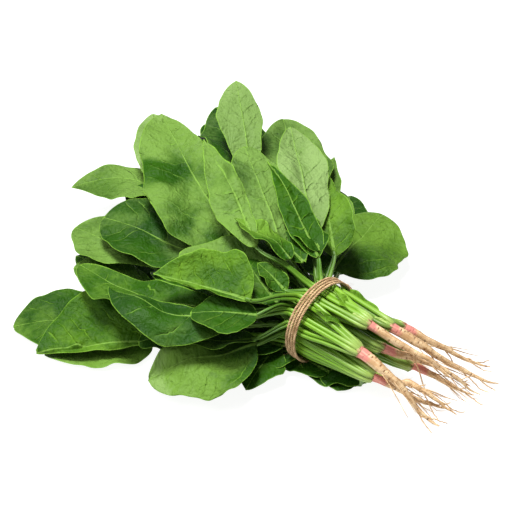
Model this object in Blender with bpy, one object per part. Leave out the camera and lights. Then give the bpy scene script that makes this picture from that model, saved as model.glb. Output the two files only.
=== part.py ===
"""A bunch of spinach tied with twine, lying on a table.

Eight whole plants lie side by side. Each has a taproot with a few side roots, a crown, leaf stalks and blades. The
stalks pass through four turns of twine and fan out into the blades, which lie on each other and on the table.
The bunch's axis is X: the roots point to +X and the leaves to -X. Z is up, and the table is at z = 0.

Every stalk, blade and root first gets the shape that it would have in the air. It is then laid on the heap: a
height map holds the top of all that lies there already, and the new piece is raised just enough to clear it.
"""

import math
from dataclasses import dataclass

import bmesh
import bpy
import numpy as np
from mathutils import Matrix

MM = 0.001

# Driving dimensions
TWINE_R = 1.05 * MM
TWINE_TURNS = 4
TWINE_PITCH = 2.3 * MM
BUNDLE_R = 29.6 * MM  # the round bundle of stalks inside the twine
TIE_HEIGHT = BUNDLE_R + 2 * TWINE_R + 0.4 * MM  # the bundle's middle above the table
STALK_R = 3.3 * MM  # at the twine
STALK_PITCH = 7.6 * MM  # between stalks inside the twine, both across and up
SLOTS_IN_ROW = (4, 6, 7, 7, 7, 6, 4)  # stalks in the twine, bottom row first
HELD = 7.5 * MM  # a stalk runs straight this far on either side of the twine's middle
BLADE_THICKNESS = 0.8 * MM
GAP = 0.6 * MM  # left between pieces that lie on each other
FLATTENED = 1.25 * MM  # a blade's underside that comes this near to the table lies flat on it

NEAR_ROWS = 3  # stations along a stalk on the root side of the twine
FAR_ROWS = 5  # and on the leaf side
BLADE_ROWS = 9
BLADE_COLUMNS = 5
PLAIN_ROWS = 7  # for a blade that others cover
PLAIN_COLUMNS = 3

# Each plant's crown: place along the axis, and offset from the bundle's middle (across, up), in millimetres
CROWNS = (
    (43, -14, 12),
    (37, 2, 22),
    (45, 16, 14),
    (45, 30, 4),
    (47, 6, 2),
    (56, -1, -15),
    (63, 20, -14),
    (56, -16, -4),
)
CROWN_SPREAD = 0.7  # the crowns' offsets are drawn in by this before each stalk takes the nearest one


@dataclass
class Leaf:
    """One leaf. row and slot give its stalk's place in the twine.

    Lengths are in millimetres. The blade's foot is ahead of the twine, across from the bundle's middle and at a
    height above the table, or higher where the heap lifts it. Angles are in degrees: aim turns from straight ahead
    (-X) towards +Y."""

    row: int
    slot: int
    ahead: float
    across: float
    height: float
    aim: float
    length: float
    width: float
    pitch: float = -4  # slope of the blade's foot
    arch: float = 24  # how far the midrib bends down towards the tip
    swerve: float = 0  # how far it bends sideways, towards +Y
    roll: float = 0  # +Y side up
    fold: float = 6  # both halves up from the midrib
    wave: float = 2  # height of the margin's waves
    blunt: float = 0.5  # 0 for a pointed tip and 1 for a round one
    widest: float = 0.4  # where, from its foot (0) to its tip (1)
    skew: float = 0  # share by which the half towards +Y is wider, and the other narrower
    turned: bool = False  # the pale underside faces up
    plain: bool = False  # others cover it


# From the bottom of the heap to the top
LEAVES = (
    Leaf(0, 0, 30, -44, 2, -50, 50, 36, arch=2, fold=2, wave=1, plain=True),
    Leaf(0, 1, 91, -74, 3, -49, 77, 44, pitch=6, arch=14, fold=2, wave=1),
    Leaf(0, 2, 104, 26, 2, 12, 90, 54, arch=2, fold=2, wave=1, plain=True),
    Leaf(0, 3, 50, 64, 2, 70, 80, 54, arch=2, fold=2, wave=1, plain=True),
    Leaf(1, 0, 19, -26, 10, -104, 42, 34, pitch=1, arch=16, fold=4, blunt=0.3),
    Leaf(1, 1, 115, -67, 9, -45, 87, 58, pitch=5, arch=16, fold=4, blunt=0.8, widest=0.6),
    Leaf(1, 2, 116, -28, 4, -10, 84, 50, arch=4, fold=4, plain=True),
    Leaf(1, 3, 112, 18, 4, 4, 86, 50, arch=4, fold=4, plain=True),
    Leaf(1, 4, 96, 60, 4, 40, 84, 52, arch=4, fold=4, plain=True),
    Leaf(1, 5, 56, 74, 4, 62, 78, 48, arch=4, fold=4, plain=True),
    Leaf(2, 0, 77, -75, 16, -44, 92, 46, pitch=1, arch=14, roll=18, blunt=0.3, widest=0.5, skew=0.8),
    Leaf(2, 1, 58, -55, 22, -49, 48, 44, pitch=-1, arch=18),
    Leaf(2, 2, 121, -35, 10, -30, 64, 40, pitch=14, arch=10, blunt=0.7, widest=0.6),
    Leaf(2, 3, 124, 26, 6, 16, 84, 50, plain=True),
    Leaf(2, 4, 100, 54, 6, 30, 84, 50, plain=True),
    Leaf(2, 5, 76, 66, 8, 48, 84, 52, plain=True),
    Leaf(2, 6, 49, 85, 12, 44, 58, 20, pitch=17, arch=18, blunt=0.6, widest=0.6),
    Leaf(3, 3, 128, 30, 20, 6, 84, 50, plain=True),
    Leaf(3, 1, 131, -33, 26, -7, 69, 46, pitch=10, arch=18, blunt=0.7, widest=0.6, turned=True),
    Leaf(
        3, 2, 173, 32, 30, -15, 75, 44, pitch=9, arch=18, swerve=-46, roll=-4, fold=10, wave=1,
        blunt=0.2, widest=0.45, skew=-0.3,
    ),
    Leaf(
        3, 4, 160, 24, 40, 24, 77, 46, pitch=21, arch=18, swerve=20, blunt=0.5, widest=0.5, skew=0.2,
        turned=True,
    ),
    Leaf(3, 5, 77, 81, 22, 65, 60, 26, pitch=27, arch=18, blunt=0.1, turned=True),
    Leaf(3, 6, 33, 53, 24, 77, 79, 62, pitch=-2, arch=8, fold=-6, blunt=0.85, widest=0.42, skew=0.25),
    Leaf(
        3, 0, 19, -45, 28, -54, 79, 46, pitch=-8, arch=12, roll=4, fold=-6, blunt=1, widest=0.42,
        skew=-0.4, turned=True,
    ),
    Leaf(4, 0, 19, -46, 34, -42, 56, 22, pitch=-2, arch=12, roll=-10, fold=14, blunt=0.2),
    Leaf(
        4, 1, 38, -37, 44, -41, 132, 42, pitch=-3, arch=0, swerve=48, fold=14, wave=3, blunt=0.8,
        widest=0.5, skew=-0.3,
    ),
    Leaf(4, 2, 98, -10, 34, -13, 86, 70, pitch=13, arch=18, roll=2, blunt=0.9, widest=0.55, skew=0.15),
    Leaf(
        4, 3, 86, 8, 45, 19, 138, 66, pitch=15, arch=14, swerve=10, wave=3, blunt=0.75, widest=0.36,
        skew=-0.28, turned=True,
    ),
    Leaf(4, 5, 107, 60, 36, 27, 98, 54, pitch=21, arch=18, blunt=0.4, widest=0.5),
    Leaf(4, 6, 82, 79, 30, 37, 87, 50, pitch=24, arch=18, blunt=0.7, widest=0.5, skew=0.05),
    Leaf(4, 4, 110, 53, 60, 39, 86, 32, pitch=31, arch=18, blunt=0.6, widest=0.6, skew=-0.15, turned=True),
    Leaf(
        5, 0, 33, -53, 43, -45, 97, 36, pitch=0, arch=2, swerve=50, roll=10, blunt=0.3, widest=0.5,
        skew=-0.35,
    ),
    Leaf(5, 1, 20, -43, 50, -39, 46, 36, pitch=6, arch=12, blunt=1, widest=0.5, skew=-0.15, turned=True),
    Leaf(5, 2, 24, -12, 52, -14, 82, 54, pitch=10, arch=16, roll=6, blunt=0.8, turned=True),
    Leaf(6, 1, 19, -14, 58, 6, 30, 18, pitch=16, arch=8, fold=14, blunt=0.3),
    Leaf(
        5, 3, 42, 8, 66, 31, 94, 40, pitch=23, arch=18, roll=-8, fold=2, blunt=1, widest=0.52,
        skew=0.05, turned=True,
    ),
    Leaf(
        5, 5, 19, 38, 56, 40, 76, 32, pitch=24, arch=18, roll=4, fold=12, wave=3, blunt=0.2,
        widest=0.35, skew=0.1,
    ),
    Leaf(
        5, 4, 38, 36, 67, 39, 98, 36, pitch=20, arch=18, roll=-4, fold=3, blunt=0.75, widest=0.48,
        skew=0.1, turned=True,
    ),
    Leaf(
        6, 0, 26, -43, 64, -22, 72, 36, pitch=9, arch=14, roll=20, fold=10, blunt=0, widest=0.35,
        skew=0.75,
    ),
    Leaf(
        6, 2, 53, -7, 73, 28, 111, 25, pitch=15, arch=18, roll=10, fold=4, blunt=0.15, widest=0.38,
        skew=-0.35, turned=True,
    ),
    Leaf(
        6, 3, 19, 20, 66, 24, 89, 24, pitch=22, arch=18, roll=6, fold=12, blunt=-0.6, widest=0.3,
        turned=True,
    ),
)

# It lies on the table under the stalks, between its crown and the twine
LOOSE_LEAF = Leaf(-1, 0, -43, -9, 3, -8, 34, 26, pitch=-2, arch=0, fold=0, wave=0.5, plain=True)
LOOSE_LEAF_PLANT = 7

# Each plant's root: where its tip lies (along the axis, across), its radius at the crown, and its side roots. For
# each of these, where along the root it starts, how far it turns off towards +Y in degrees, and its length.
ROOTS = (
    ((111, 0), 4.5, ((0.4, 26, 26), (0.6, -20, 26), (0.8, 18, 18))),
    ((114, 41), 3.4, ((0.35, -22, 30), (0.65, 24, 26))),
    ((115, 60), 3.9, ((0.3, 18, 30), (0.55, -18, 32), (0.75, -22, 20))),
    ((100, 70), 3.3, ((0.4, -16, 26), (0.7, 20, 20))),
    ((102, 44), 3.6, ((0.45, -20, 28), (0.7, 22, 20))),
    ((113, 16), 3.3, ((0.4, -22, 26), (0.7, 18, 22))),
    ((109, 40), 3.2, ((0.4, 20, 24), (0.65, -22, 26))),
    ((106, 18), 3.2, ((0.35, -24, 26), (0.65, 20, 22))),
)
ROOT_ORDER = (7, 5, 6, 4, 0, 3, 2, 1)  # the order in which they are laid, lowest first
CROWN_LENGTH = 13 * MM
ROOT_ROWS = 12
ROOTLET_ROWS = 6
NECK_GAP = 0.05 * MM



def slot_place(row, slot):
    """Offset (across, up) of a stalk from the bundle's middle, inside the twine."""
    across = slot - (SLOTS_IN_ROW[row] - 1) / 2
    up = row - (len(SLOTS_IN_ROW) - 1) / 2
    return STALK_PITCH * across, STALK_PITCH * up


def plant_of(leaf):
    """Number of the plant whose crown is nearest to the stalk's place in the twine."""
    across, up = slot_place(leaf.row, leaf.slot)
    away = [
        math.hypot(across / MM - CROWN_SPREAD * y, up / MM - CROWN_SPREAD * z) for _, y, z in CROWNS
    ]
    return away.index(min(away))


def crown_point(plant):
    x, y, z = CROWNS[plant]
    return np.array([x * MM, y * MM, TIE_HEIGHT + z * MM])


def heading(azimuth, slope):
    """Unit vector away from the roots, turned towards +Y by azimuth and up by slope, in degrees."""
    a, s = math.radians(azimuth), math.radians(slope)
    return np.array([-math.cos(a) * math.cos(s), math.sin(a) * math.cos(s), math.sin(s)])


def hermite(start, start_pull, end, end_pull, count):
    """Points on the cubic from start to end that leaves along start_pull and arrives along end_pull."""
    t = np.linspace(0, 1, count)[:, None]
    return (
        (2 * t**3 - 3 * t**2 + 1) * start
        + (t**3 - 2 * t**2 + t) * start_pull
        + (3 * t**2 - 2 * t**3) * end
        + (t**3 - t**2) * end_pull
    )


def smooth_step(value, low, high):
    t = np.clip((value - low) / (high - low), 0, 1)
    return t * t * (3 - 2 * t)


class Heap:
    """Height map of all that has been laid: the highest point in each cell."""

    CELL = 1.2 * MM
    HALF = 0.32

    def __init__(self):
        cells = int(2 * self.HALF / self.CELL)
        self.top = np.full((cells, cells), -GAP)

    def cell(self, points):
        return tuple(((points[:, k] + self.HALF) / self.CELL).astype(int) for k in (0, 1))

    def around(self, points):
        """The heap's height at each point, taking in the eight cells round its own."""
        i, j = self.cell(points)
        return np.max([self.top[i + a, j + b] for a in (-1, 0, 1) for b in (-1, 0, 1)], axis=0)

    def add(self, points):
        np.maximum.at(self.top, self.cell(points), points[:, 2])


def samples(grid, fine):
    """Points spread over a grid's triangles, and the share that each corner of its quad has in each point.

    The corners are those at (row, column), (row + 1, column), (row, column + 1) and (row + 1, column + 1), and
    the quad is split from the first of them to the last. Returns points, shares, rows and columns."""
    side = (np.arange(fine) + 0.5) / fine
    a, b = (value.ravel() for value in np.meshgrid(side, side, indexing="ij"))
    low, high = np.minimum(a, b), np.maximum(a, b)
    share = np.stack([1 - high, np.where(a > b, a - b, 0), np.where(b > a, b - a, 0), low], axis=1)
    r, c = np.meshgrid(np.arange(grid.shape[0] - 1), np.arange(grid.shape[1] - 1), indexing="ij")
    r, c = r.ravel(), c.ravel()
    corners = np.stack([grid[r, c], grid[r + 1, c], grid[r, c + 1], grid[r + 1, c + 1]], axis=1)
    points = np.einsum("sk,qkd->qsd", share, corners)
    count = len(share)
    return points.reshape(-1, 3), np.tile(share, (len(r), 1)), np.repeat(r, count), np.repeat(c, count)


def raise_needed(heap, skin, free, fine=6):
    """How far each point of a grid has to rise for its triangles to clear the heap by GAP.

    free gives the share of that which is asked for at each X: it is 0 where stalks and crowns are side by side."""
    points, share, r, c = samples(skin, fine)
    short = np.maximum(heap.around(points) + GAP - points[:, 2], 0) * free(points[:, 0])
    strength = (share**2).sum(axis=1)
    need = np.zeros(skin.shape[:2])
    for k, (a, b) in enumerate(((0, 0), (1, 0), (0, 1), (1, 1))):
        np.maximum.at(need, (r + a, c + b), short * share[:, k] / strength)
    return need


def past_twine(x):
    """0 where the twine holds a stalk, and 1 further ahead."""
    return smooth_step(-x, HELD * 1.1, HELD + 14 * MM)


def eased(need, passes):
    """need spread smoothly to the points round it, and nowhere less than it was."""
    raised = need.copy()
    for _ in range(passes):
        padded = np.pad(raised, 1, mode="edge")
        mean = (padded[:-2, 1:-1] + padded[2:, 1:-1] + padded[1:-1, :-2] + padded[1:-1, 2:]) / 4
        raised = np.maximum(need, 0.5 * (raised + mean))
    return raised


def grid_normals(grid):
    """Unit normals of a grid, on the side that faces up."""
    normal = np.cross(np.gradient(grid, axis=1), np.gradient(grid, axis=0))
    normal /= np.linalg.norm(normal, axis=2, keepdims=True)
    return normal * np.where(normal[..., 2:] < 0, -1, 1)


def middle_column(grid):
    return grid[:, grid.shape[1] // 2]


def tube_skins(line, radius, breadth=1.0, strips=7):
    """The lower and the upper surface of a tube, as grids. breadth is the share of its width that they take in."""
    direction = np.gradient(line, axis=0)
    across = np.stack([-direction[:, 1], direction[:, 0], np.zeros(len(line))], axis=1)
    across /= np.maximum(np.linalg.norm(across, axis=1, keepdims=True), 1e-9)
    share = breadth * np.sin(np.linspace(-1, 1, strips) * math.pi / 2)
    middle = line[:, None] + across[:, None] * (radius[:, None] * share)[..., None]
    rise = np.zeros_like(middle)
    rise[..., 2] = radius[:, None] * np.sqrt(1 - share**2)
    return middle - rise, middle + rise


def lay_tube(heap, line, radius, free):
    """Raises a tube's stations until its middle strip clears the heap, so that tubes can lie side by side."""
    raised = np.zeros(len(line))
    loose = np.minimum(3 * free(line[:, 0]), 1)
    for _ in range(8):
        laid = line.copy()
        laid[:, 2] += eased(raised[:, None], 2)[:, 0] * loose
        need = raise_needed(heap, tube_skins(laid, radius, 0.55)[0], free)
        raised += need.max(axis=1) * free(line[:, 0])
    return laid


def add_tube(heap, line, radius):
    heap.add(samples(tube_skins(line, radius)[1], 8)[0])


def lay_blade(heap, grid):
    """Raises a blade's grid until it clears the heap. Its foot stays level."""
    half = half_thickness(grid)
    raised = np.zeros(grid.shape[:2])
    for _ in range(10):
        laid = grid.copy()
        laid[..., 2] += eased(raised, 2)
        need = raise_needed(heap, laid - grid_normals(laid) * half, past_twine)
        need[0] = need[0].max()
        raised += need
    return laid


def outline(leaf, share):
    """A blade's half-width as a share of its greatest, from its foot (0) to its tip (1)."""
    bent = share ** (math.log(0.5) / math.log(leaf.widest))
    return np.maximum(np.sin(math.pi * bent) ** (0.9 - 0.4 * leaf.blunt), 0.08)


def blade_line(leaf, foot):
    """The midrib, which bends down and sideways evenly along its length."""
    steps = (PLAIN_ROWS if leaf.plain else BLADE_ROWS) - 1
    points = [foot]
    for k in range(steps):
        share = (k + 0.5) / steps
        step = heading(leaf.aim + leaf.swerve * share, leaf.pitch - leaf.arch * share)
        points.append(points[-1] + step * leaf.length * MM / steps)
    return np.array(points)


def blade_grid(leaf, line, phase):
    """The blade's middle surface: rows along the midrib, columns across it towards +Y."""
    share = np.linspace(0, 1, len(line))[:, None]
    u = np.linspace(-1, 1, PLAIN_COLUMNS if leaf.plain else BLADE_COLUMNS)[None, :]
    along = np.gradient(line, axis=0)
    along /= np.linalg.norm(along, axis=1, keepdims=True)
    level = np.cross([0, 0, 1.0], -along)
    level /= np.linalg.norm(level, axis=1, keepdims=True)
    up = np.cross(-along, level)
    roll = math.radians(leaf.roll)
    side = level * math.cos(roll) + up * math.sin(roll)
    normal = up * math.cos(roll) - level * math.sin(roll)
    width = leaf.width * MM / 2 * outline(leaf, share) * (1 + leaf.skew * np.sign(u))
    fold = math.radians(leaf.fold) * (0.5 + 0.5 * np.abs(u))
    waves = leaf.wave * MM * u**2 * np.sin(2 * math.pi * (1.6 * share + phase) + np.sign(u) * 0.9)
    out = u * width * np.cos(fold)
    rise = np.abs(u) * width * np.sin(fold) + waves * np.sin(math.pi * share) ** 0.5
    return line[:, None] + out[..., None] * side[:, None] + rise[..., None] * normal[:, None]


def half_thickness(grid):
    """Half the blade's thickness at each grid point. The midrib is as thick as the stalk at the foot."""
    rows, columns = grid.shape[:2]
    share = np.linspace(0, 1, rows)[:, None]
    rib = np.abs(np.linspace(-1, 1, columns))[None, :] < 0.1
    half = BLADE_THICKNESS / 2 + rib * np.maximum(1.2 - 3.2 * share, 0) * MM
    return half[..., None]


def stalk_radius(count):
    """Radius along a stalk from the crown to the blade."""
    share = np.linspace(0, 1, count)
    return STALK_R * np.interp(share, [0, 0.2, 0.45, 0.7, 1], [1.1, 1.04, 1, 0.72, 0.5])


def lay_leaf(heap, leaf, phase):
    """The stalk's stations, their radii and the blade's grid, laid on the heap."""
    across, up = slot_place(leaf.row, leaf.slot)
    tie = np.array([0, across, TIE_HEIGHT + up])
    crown = crown_point(plant_of(leaf))
    spread = tie - crown
    spread[0] = 0
    start = crown + 3 * MM * spread / max(np.linalg.norm(spread), MM)
    ahead = np.array([-1.0, 0, 0])
    foot = np.array([-leaf.ahead, leaf.across, leaf.height]) * MM
    reach = np.linalg.norm(foot - tie)
    near = hermite(start, ahead * crown[0], tie - ahead * HELD, ahead * crown[0] * 0.8, NEAR_ROWS)
    far = hermite(
        tie + ahead * HELD, ahead * reach * 0.4, foot, heading(leaf.aim, leaf.pitch) * reach * 0.4, FAR_ROWS
    )
    line = np.concatenate([near, far])
    radius = stalk_radius(len(line))
    line = lay_tube(heap, line, radius, past_twine)
    grid = lay_blade(heap, blade_grid(leaf, blade_line(leaf, line[-1]), phase))
    lifted = middle_column(grid)[0, 2] - line[-1, 2]
    line[NEAR_ROWS:, 2] += lifted * np.linspace(0, 1, FAR_ROWS) ** 1.5
    return line, radius, grid


def lay_loose_leaf(heap, leaf, phase):
    """The same for a leaf that leaves its crown below the others and doesn't reach the twine."""
    crown = crown_point(LOOSE_LEAF_PLANT)
    foot = np.array([-leaf.ahead, leaf.across, leaf.height]) * MM
    pull = np.linalg.norm(foot - crown)
    line = hermite(crown, [-pull, 0, 0], foot, heading(leaf.aim, leaf.pitch) * pull, FAR_ROWS)
    grid = lay_blade(heap, blade_grid(leaf, blade_line(leaf, foot), phase))
    line[-1] = middle_column(grid)[0]
    return line, stalk_radius(FAR_ROWS) * 0.6, grid


def lay_bunch(heap):
    """Each leaf with its plant's number, stalk and blade, laid from the bottom of the heap to its top."""
    rng = np.random.default_rng(7)
    laid = [(LOOSE_LEAF, LOOSE_LEAF_PLANT, *lay_loose_leaf(heap, LOOSE_LEAF, 0))]
    for leaf in LEAVES:
        line, radius, grid = lay_leaf(heap, leaf, rng.random())
        add_tube(heap, line, radius)
        heap.add(samples(grid + grid_normals(grid) * half_thickness(grid), 10)[0])
        laid.append((leaf, plant_of(leaf), line, radius, grid))
    return laid


def clear_scene():
    for obj in list(bpy.data.objects):
        bpy.data.objects.remove(obj)


def new_collection(name):
    collection = bpy.data.collections.new(name)
    bpy.context.scene.collection.children.link(collection)
    return collection


def new_material(name, colour, roughness):
    material = bpy.data.materials.new(name)
    material.use_nodes = True
    shader = material.node_tree.nodes["Principled BSDF"]
    shader.inputs["Base Color"].default_value = (*colour, 1)
    shader.inputs["Roughness"].default_value = roughness
    return material


def new_mesh_object(name, points, faces, collection):
    mesh = bpy.data.meshes.new(name)
    mesh.from_pydata([tuple(point) for point in points], [], faces)
    shape = bmesh.new()
    shape.from_mesh(mesh)
    bmesh.ops.triangulate(shape, faces=[face for face in shape.faces if len(face.verts) > 4])
    bmesh.ops.recalc_face_normals(shape, faces=shape.faces)
    if shape.calc_volume(signed=True) < 0:
        bmesh.ops.reverse_faces(shape, faces=shape.faces)
    shape.to_mesh(mesh)
    shape.free()
    obj = bpy.data.objects.new(name, mesh)
    collection.objects.link(obj)
    return obj


def tube_shape(line, radius, sides):
    """Points and faces of a round tube with flat ends, its rings turned as little as possible from one to the next."""
    direction = np.gradient(line, axis=0)
    direction /= np.linalg.norm(direction, axis=1, keepdims=True)
    across = np.cross([0, 0, 1.0], direction[0])
    if np.linalg.norm(across) < 0.1:
        across = np.array([0, 1.0, 0])
    angle = 2 * math.pi * np.arange(sides) / sides
    rings = []
    for centre, ahead, r in zip(line, direction, radius):
        across = across - ahead * (across @ ahead)
        across /= np.linalg.norm(across)
        up = np.cross(ahead, across)
        rings.append(centre + r * (np.cos(angle)[:, None] * across + np.sin(angle)[:, None] * up))
    points = np.concatenate(rings)
    faces = []
    for row in range(len(line) - 1):
        for k in range(sides):
            a, b = row * sides + k, row * sides + (k + 1) % sides
            faces.append((a, b, b + sides, a + sides))
    last = (len(line) - 1) * sides
    faces.append(tuple(range(sides))[::-1])
    faces.append(tuple(range(last, last + sides)))
    return points, faces


def blade_shape(grid):
    """Points and faces of a blade: its upper and its lower skin, split into triangles alike, and the rim."""
    thick = grid_normals(grid) * half_thickness(grid)
    lower = grid - thick
    lower[..., 2] = np.where(lower[..., 2] < FLATTENED, 0, lower[..., 2])
    points = np.concatenate([(grid + thick).reshape(-1, 3), lower.reshape(-1, 3)])
    rows, columns = grid.shape[:2]
    count = rows * columns
    faces = []
    for r in range(rows - 1):
        for c in range(columns - 1):
            p00 = r * columns + c
            p01, p10, p11 = p00 + 1, p00 + columns, p00 + columns + 1
            for face in ((p00, p10, p11), (p00, p11, p01)):
                faces.append(face)
                faces.append(tuple(count + k for k in reversed(face)))
    rim = [c for c in range(columns)]
    rim += [r * columns + columns - 1 for r in range(1, rows)]
    rim += [(rows - 1) * columns + c for c in range(columns - 2, -1, -1)]
    rim += [r * columns for r in range(rows - 2, 0, -1)]
    for a, b in zip(rim, rim[1:] + rim[:1]):
        faces.append((a, b, count + b))
        faces.append((a, count + b, count + a))
    return points, faces


def fuse(name, pieces, collection, material):
    """Joins the pieces, each a closed shape that crosses another of them, into one body."""
    body, others = pieces[0], pieces[1:]
    cutters = new_collection(name + "_parts")
    for piece in others:
        collection.objects.unlink(piece)
        cutters.objects.link(piece)
    union = body.modifiers.new("fuse", "BOOLEAN")
    union.operation = "UNION"
    union.operand_type = "COLLECTION"
    union.collection = cutters
    union.solver = "MANIFOLD"
    bpy.context.view_layer.update()
    fused = bpy.data.meshes.new_from_object(body.evaluated_get(bpy.context.evaluated_depsgraph_get()))
    body.modifiers.clear()
    body.data = fused
    body.name = name
    body.data.materials.clear()
    body.data.materials.append(material)
    for piece in others:
        bpy.data.objects.remove(piece)
    bpy.data.collections.remove(cutters)
    return body


def stalk_line(line, radius, grid):
    """The stalk's stations with one more, inside the blade's foot."""
    rib = middle_column(grid)[:2]
    step = rib[1] - rib[0]
    inside = rib[0] + step * 3 * MM / np.linalg.norm(step)
    return np.concatenate([line, [inside]]), np.append(radius, radius[-1] * 0.5)


def crown_frame(plant):
    """The crown's middle, and the unit vector along its root, which leads towards the root's tip."""
    centre = crown_point(plant)
    (ahead, across), _, _ = ROOTS[plant]
    towards = np.array([ahead * MM, across * MM, 6 * MM]) - centre
    towards *= [1, 0.6, 0.6]
    return centre, towards / np.linalg.norm(towards)


def crown_shape(plant):
    """A barrel from among the stalks to the neck, where it ends flat."""
    centre, ahead = crown_frame(plant)
    _, neck, _ = ROOTS[plant]
    share = np.array([-0.55, -0.35, -0.1, 0.15, 0.35, 0.45])
    radius = np.array([2.4, 4.3, 5.2, 5.0, 0.5 * neck + 2.4, neck]) * MM
    return tube_shape(centre + share[:, None] * CROWN_LENGTH * ahead, radius, 10)


def build_greens(laid, collection, material):
    for plant in range(len(CROWNS)):
        pieces = [new_mesh_object("crown", *crown_shape(plant), collection)]
        for leaf, owner, line, radius, grid in laid:
            if owner == plant:
                sides = 5 if leaf.plain else 6
                stalk = tube_shape(*stalk_line(line, radius, grid), sides)
                pieces.append(new_mesh_object("stalk", *stalk, collection))
                pieces.append(new_mesh_object("blade", *blade_shape(grid), collection))
        fuse(f"plant_{plant + 1}_greens", pieces, collection, material)


def lay_root(heap, plant):
    """The stations and radii of the taproot and of its side roots, laid on the table and on the roots there."""
    centre, ahead = crown_frame(plant)
    (tip_ahead, tip_across), neck, side_roots = ROOTS[plant]
    start = centre + ahead * (0.45 * CROWN_LENGTH + NECK_GAP)
    collar = start + ahead * 1.5 * MM
    tip = np.array([tip_ahead, tip_across, 1.5]) * MM
    reach = np.linalg.norm(tip - collar)
    line = hermite(collar, ahead * reach, tip, (tip - collar) * [1, 1, 0.1], ROOT_ROWS - 1)
    line = np.concatenate([[start], line])
    share = np.linspace(0, 1, ROOT_ROWS)
    radius = neck * MM * np.interp(share, [0, 0.3, 0.65, 0.9, 1], [1, 0.82, 0.56, 0.3, 0.15])

    def past_crown(x):
        return smooth_step(x, start[0] + 2 * MM, start[0] + 16 * MM)

    line = lay_tube(heap, line, radius, past_crown)
    tubes = [(line, radius)]
    for share, turn, length in side_roots:
        row = share * (ROOT_ROWS - 1)
        station = int(row)
        base = line[station] + (line[station + 1] - line[station]) * (row - station)
        along = line[station + 1] - line[station]
        azimuth = math.atan2(along[1], along[0])
        bend = np.linspace(0.4, 1.4, ROOTLET_ROWS - 1)[:, None] * math.radians(turn) + azimuth
        steps = np.concatenate([np.cos(bend), np.sin(bend), 0 * bend], axis=1) * length * MM / (ROOTLET_ROWS - 1)
        side = base + np.concatenate([[np.zeros(3)], np.cumsum(steps, axis=0)])
        side[:, 2] += (0.8 * MM - base[2]) * smooth_step(np.linspace(0, 1, ROOTLET_ROWS), 0, 0.8)
        slim = MM * np.linspace(0.9, 0.5, ROOTLET_ROWS)
        tubes.append((lay_tube(heap, side, slim, past_crown), slim))
    return tubes


def build_roots(heap, collection, material):
    for plant in range(len(CROWNS)):
        centre, ahead = crown_frame(plant)
        share = np.linspace(-0.3, 0.45, 6)[:, None]
        add_tube(heap, centre + share * CROWN_LENGTH * ahead, np.full(6, 6 * MM))
    for plant in ROOT_ORDER:
        tubes = lay_root(heap, plant)
        pieces = []
        for line, radius in tubes:
            add_tube(heap, line, radius)
            pieces.append(new_mesh_object("root", *tube_shape(line, radius, 7 if not pieces else 5), collection))
        fuse(f"plant_{plant + 1}_root", pieces, collection, material)


def twine_shape():
    """One length of twine: close turns round the stalks, with each end brought up and slanting over them."""
    inner = BUNDLE_R + TWINE_R + 0.05 * MM
    outer = inner + 2 * TWINE_R + 0.15 * MM
    half = TWINE_TURNS * TWINE_PITCH / 2
    coil = np.linspace(0, TWINE_TURNS * 2 * math.pi, TWINE_TURNS * 22 + 1)
    turn = coil
    x = -half + coil / (2 * math.pi) * TWINE_PITCH
    r = np.full(len(coil), inner)
    # past the last turn: angle, place along the axis in half widths of the band, and height above the stalks
    tail = np.array(
        [(0.12, 1.12, 0.15), (0.26, 1.32, 0.6), (0.4, 1.3, 1), (0.52, 1.0, 1), (0.64, 0.4, 1), (0.76, -0.3, 1)]
    )
    for end in (1, -1):
        tail_turn = (coil[-1] if end > 0 else 0) + end * tail[:, 0]
        tail_x = end * half * tail[:, 1]
        tail_r = inner + (outer - inner) * tail[:, 2]
        order = slice(None) if end > 0 else slice(None, None, -1)
        parts = [(turn, tail_turn[order]), (x, tail_x[order]), (r, tail_r[order])]
        turn, x, r = (np.concatenate(pair if end > 0 else pair[::-1]) for pair in parts)
    turn = turn + math.radians(-22)
    line = np.stack([x, r * np.cos(turn), TIE_HEIGHT + r * np.sin(turn)], axis=1)
    return tube_shape(line, np.full(len(line), TWINE_R), 6)


def stand_on_origin(objects):
    """Moves all of the bunch so that the middle of its bounding box is over the origin, with its lowest point at 0."""
    corners = []
    for obj in objects:
        points = np.empty(len(obj.data.vertices) * 3)
        obj.data.vertices.foreach_get("co", points)
        corners += [points.reshape(-1, 3).min(axis=0), points.reshape(-1, 3).max(axis=0)]
    low, high = np.min(corners, axis=0), np.max(corners, axis=0)
    shift = [-(low[0] + high[0]) / 2, -(low[1] + high[1]) / 2, -low[2]]
    for obj in objects:
        obj.data.transform(Matrix.Translation(shift))


clear_scene()
bunch = new_collection("spinach_bunch")
leaf_green = new_material("leaf_green", (0.07, 0.19, 0.03), 0.5)
root_tan = new_material("root_tan", (0.55, 0.36, 0.2), 0.75)
twine_jute = new_material("twine_jute", (0.5, 0.36, 0.2), 0.9)
bunch_heap = Heap()
build_greens(lay_bunch(bunch_heap), bunch, leaf_green)
build_roots(bunch_heap, bunch, root_tan)
twine = new_mesh_object("twine_tie", *twine_shape(), bunch)
twine.data.materials.append(twine_jute)
stand_on_origin(bunch.objects)
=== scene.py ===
"""The looks of a bunch of spinach tied with twine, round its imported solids.

The stalks, blades and roots follow the layout of the solids: each is laid on a heap, from the bottom to
the top, first as the solids have it. A fine surface with the same form is then laid once more, so that
it rests on the fine surfaces below it. The bunch's own axis is X: the roots point to +X and the leaves
to -X. Z is up, and the table is at z = 0.
"""

import math
from dataclasses import dataclass

import bmesh
import bpy
import numpy as np
from mathutils import Matrix, Vector


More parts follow.
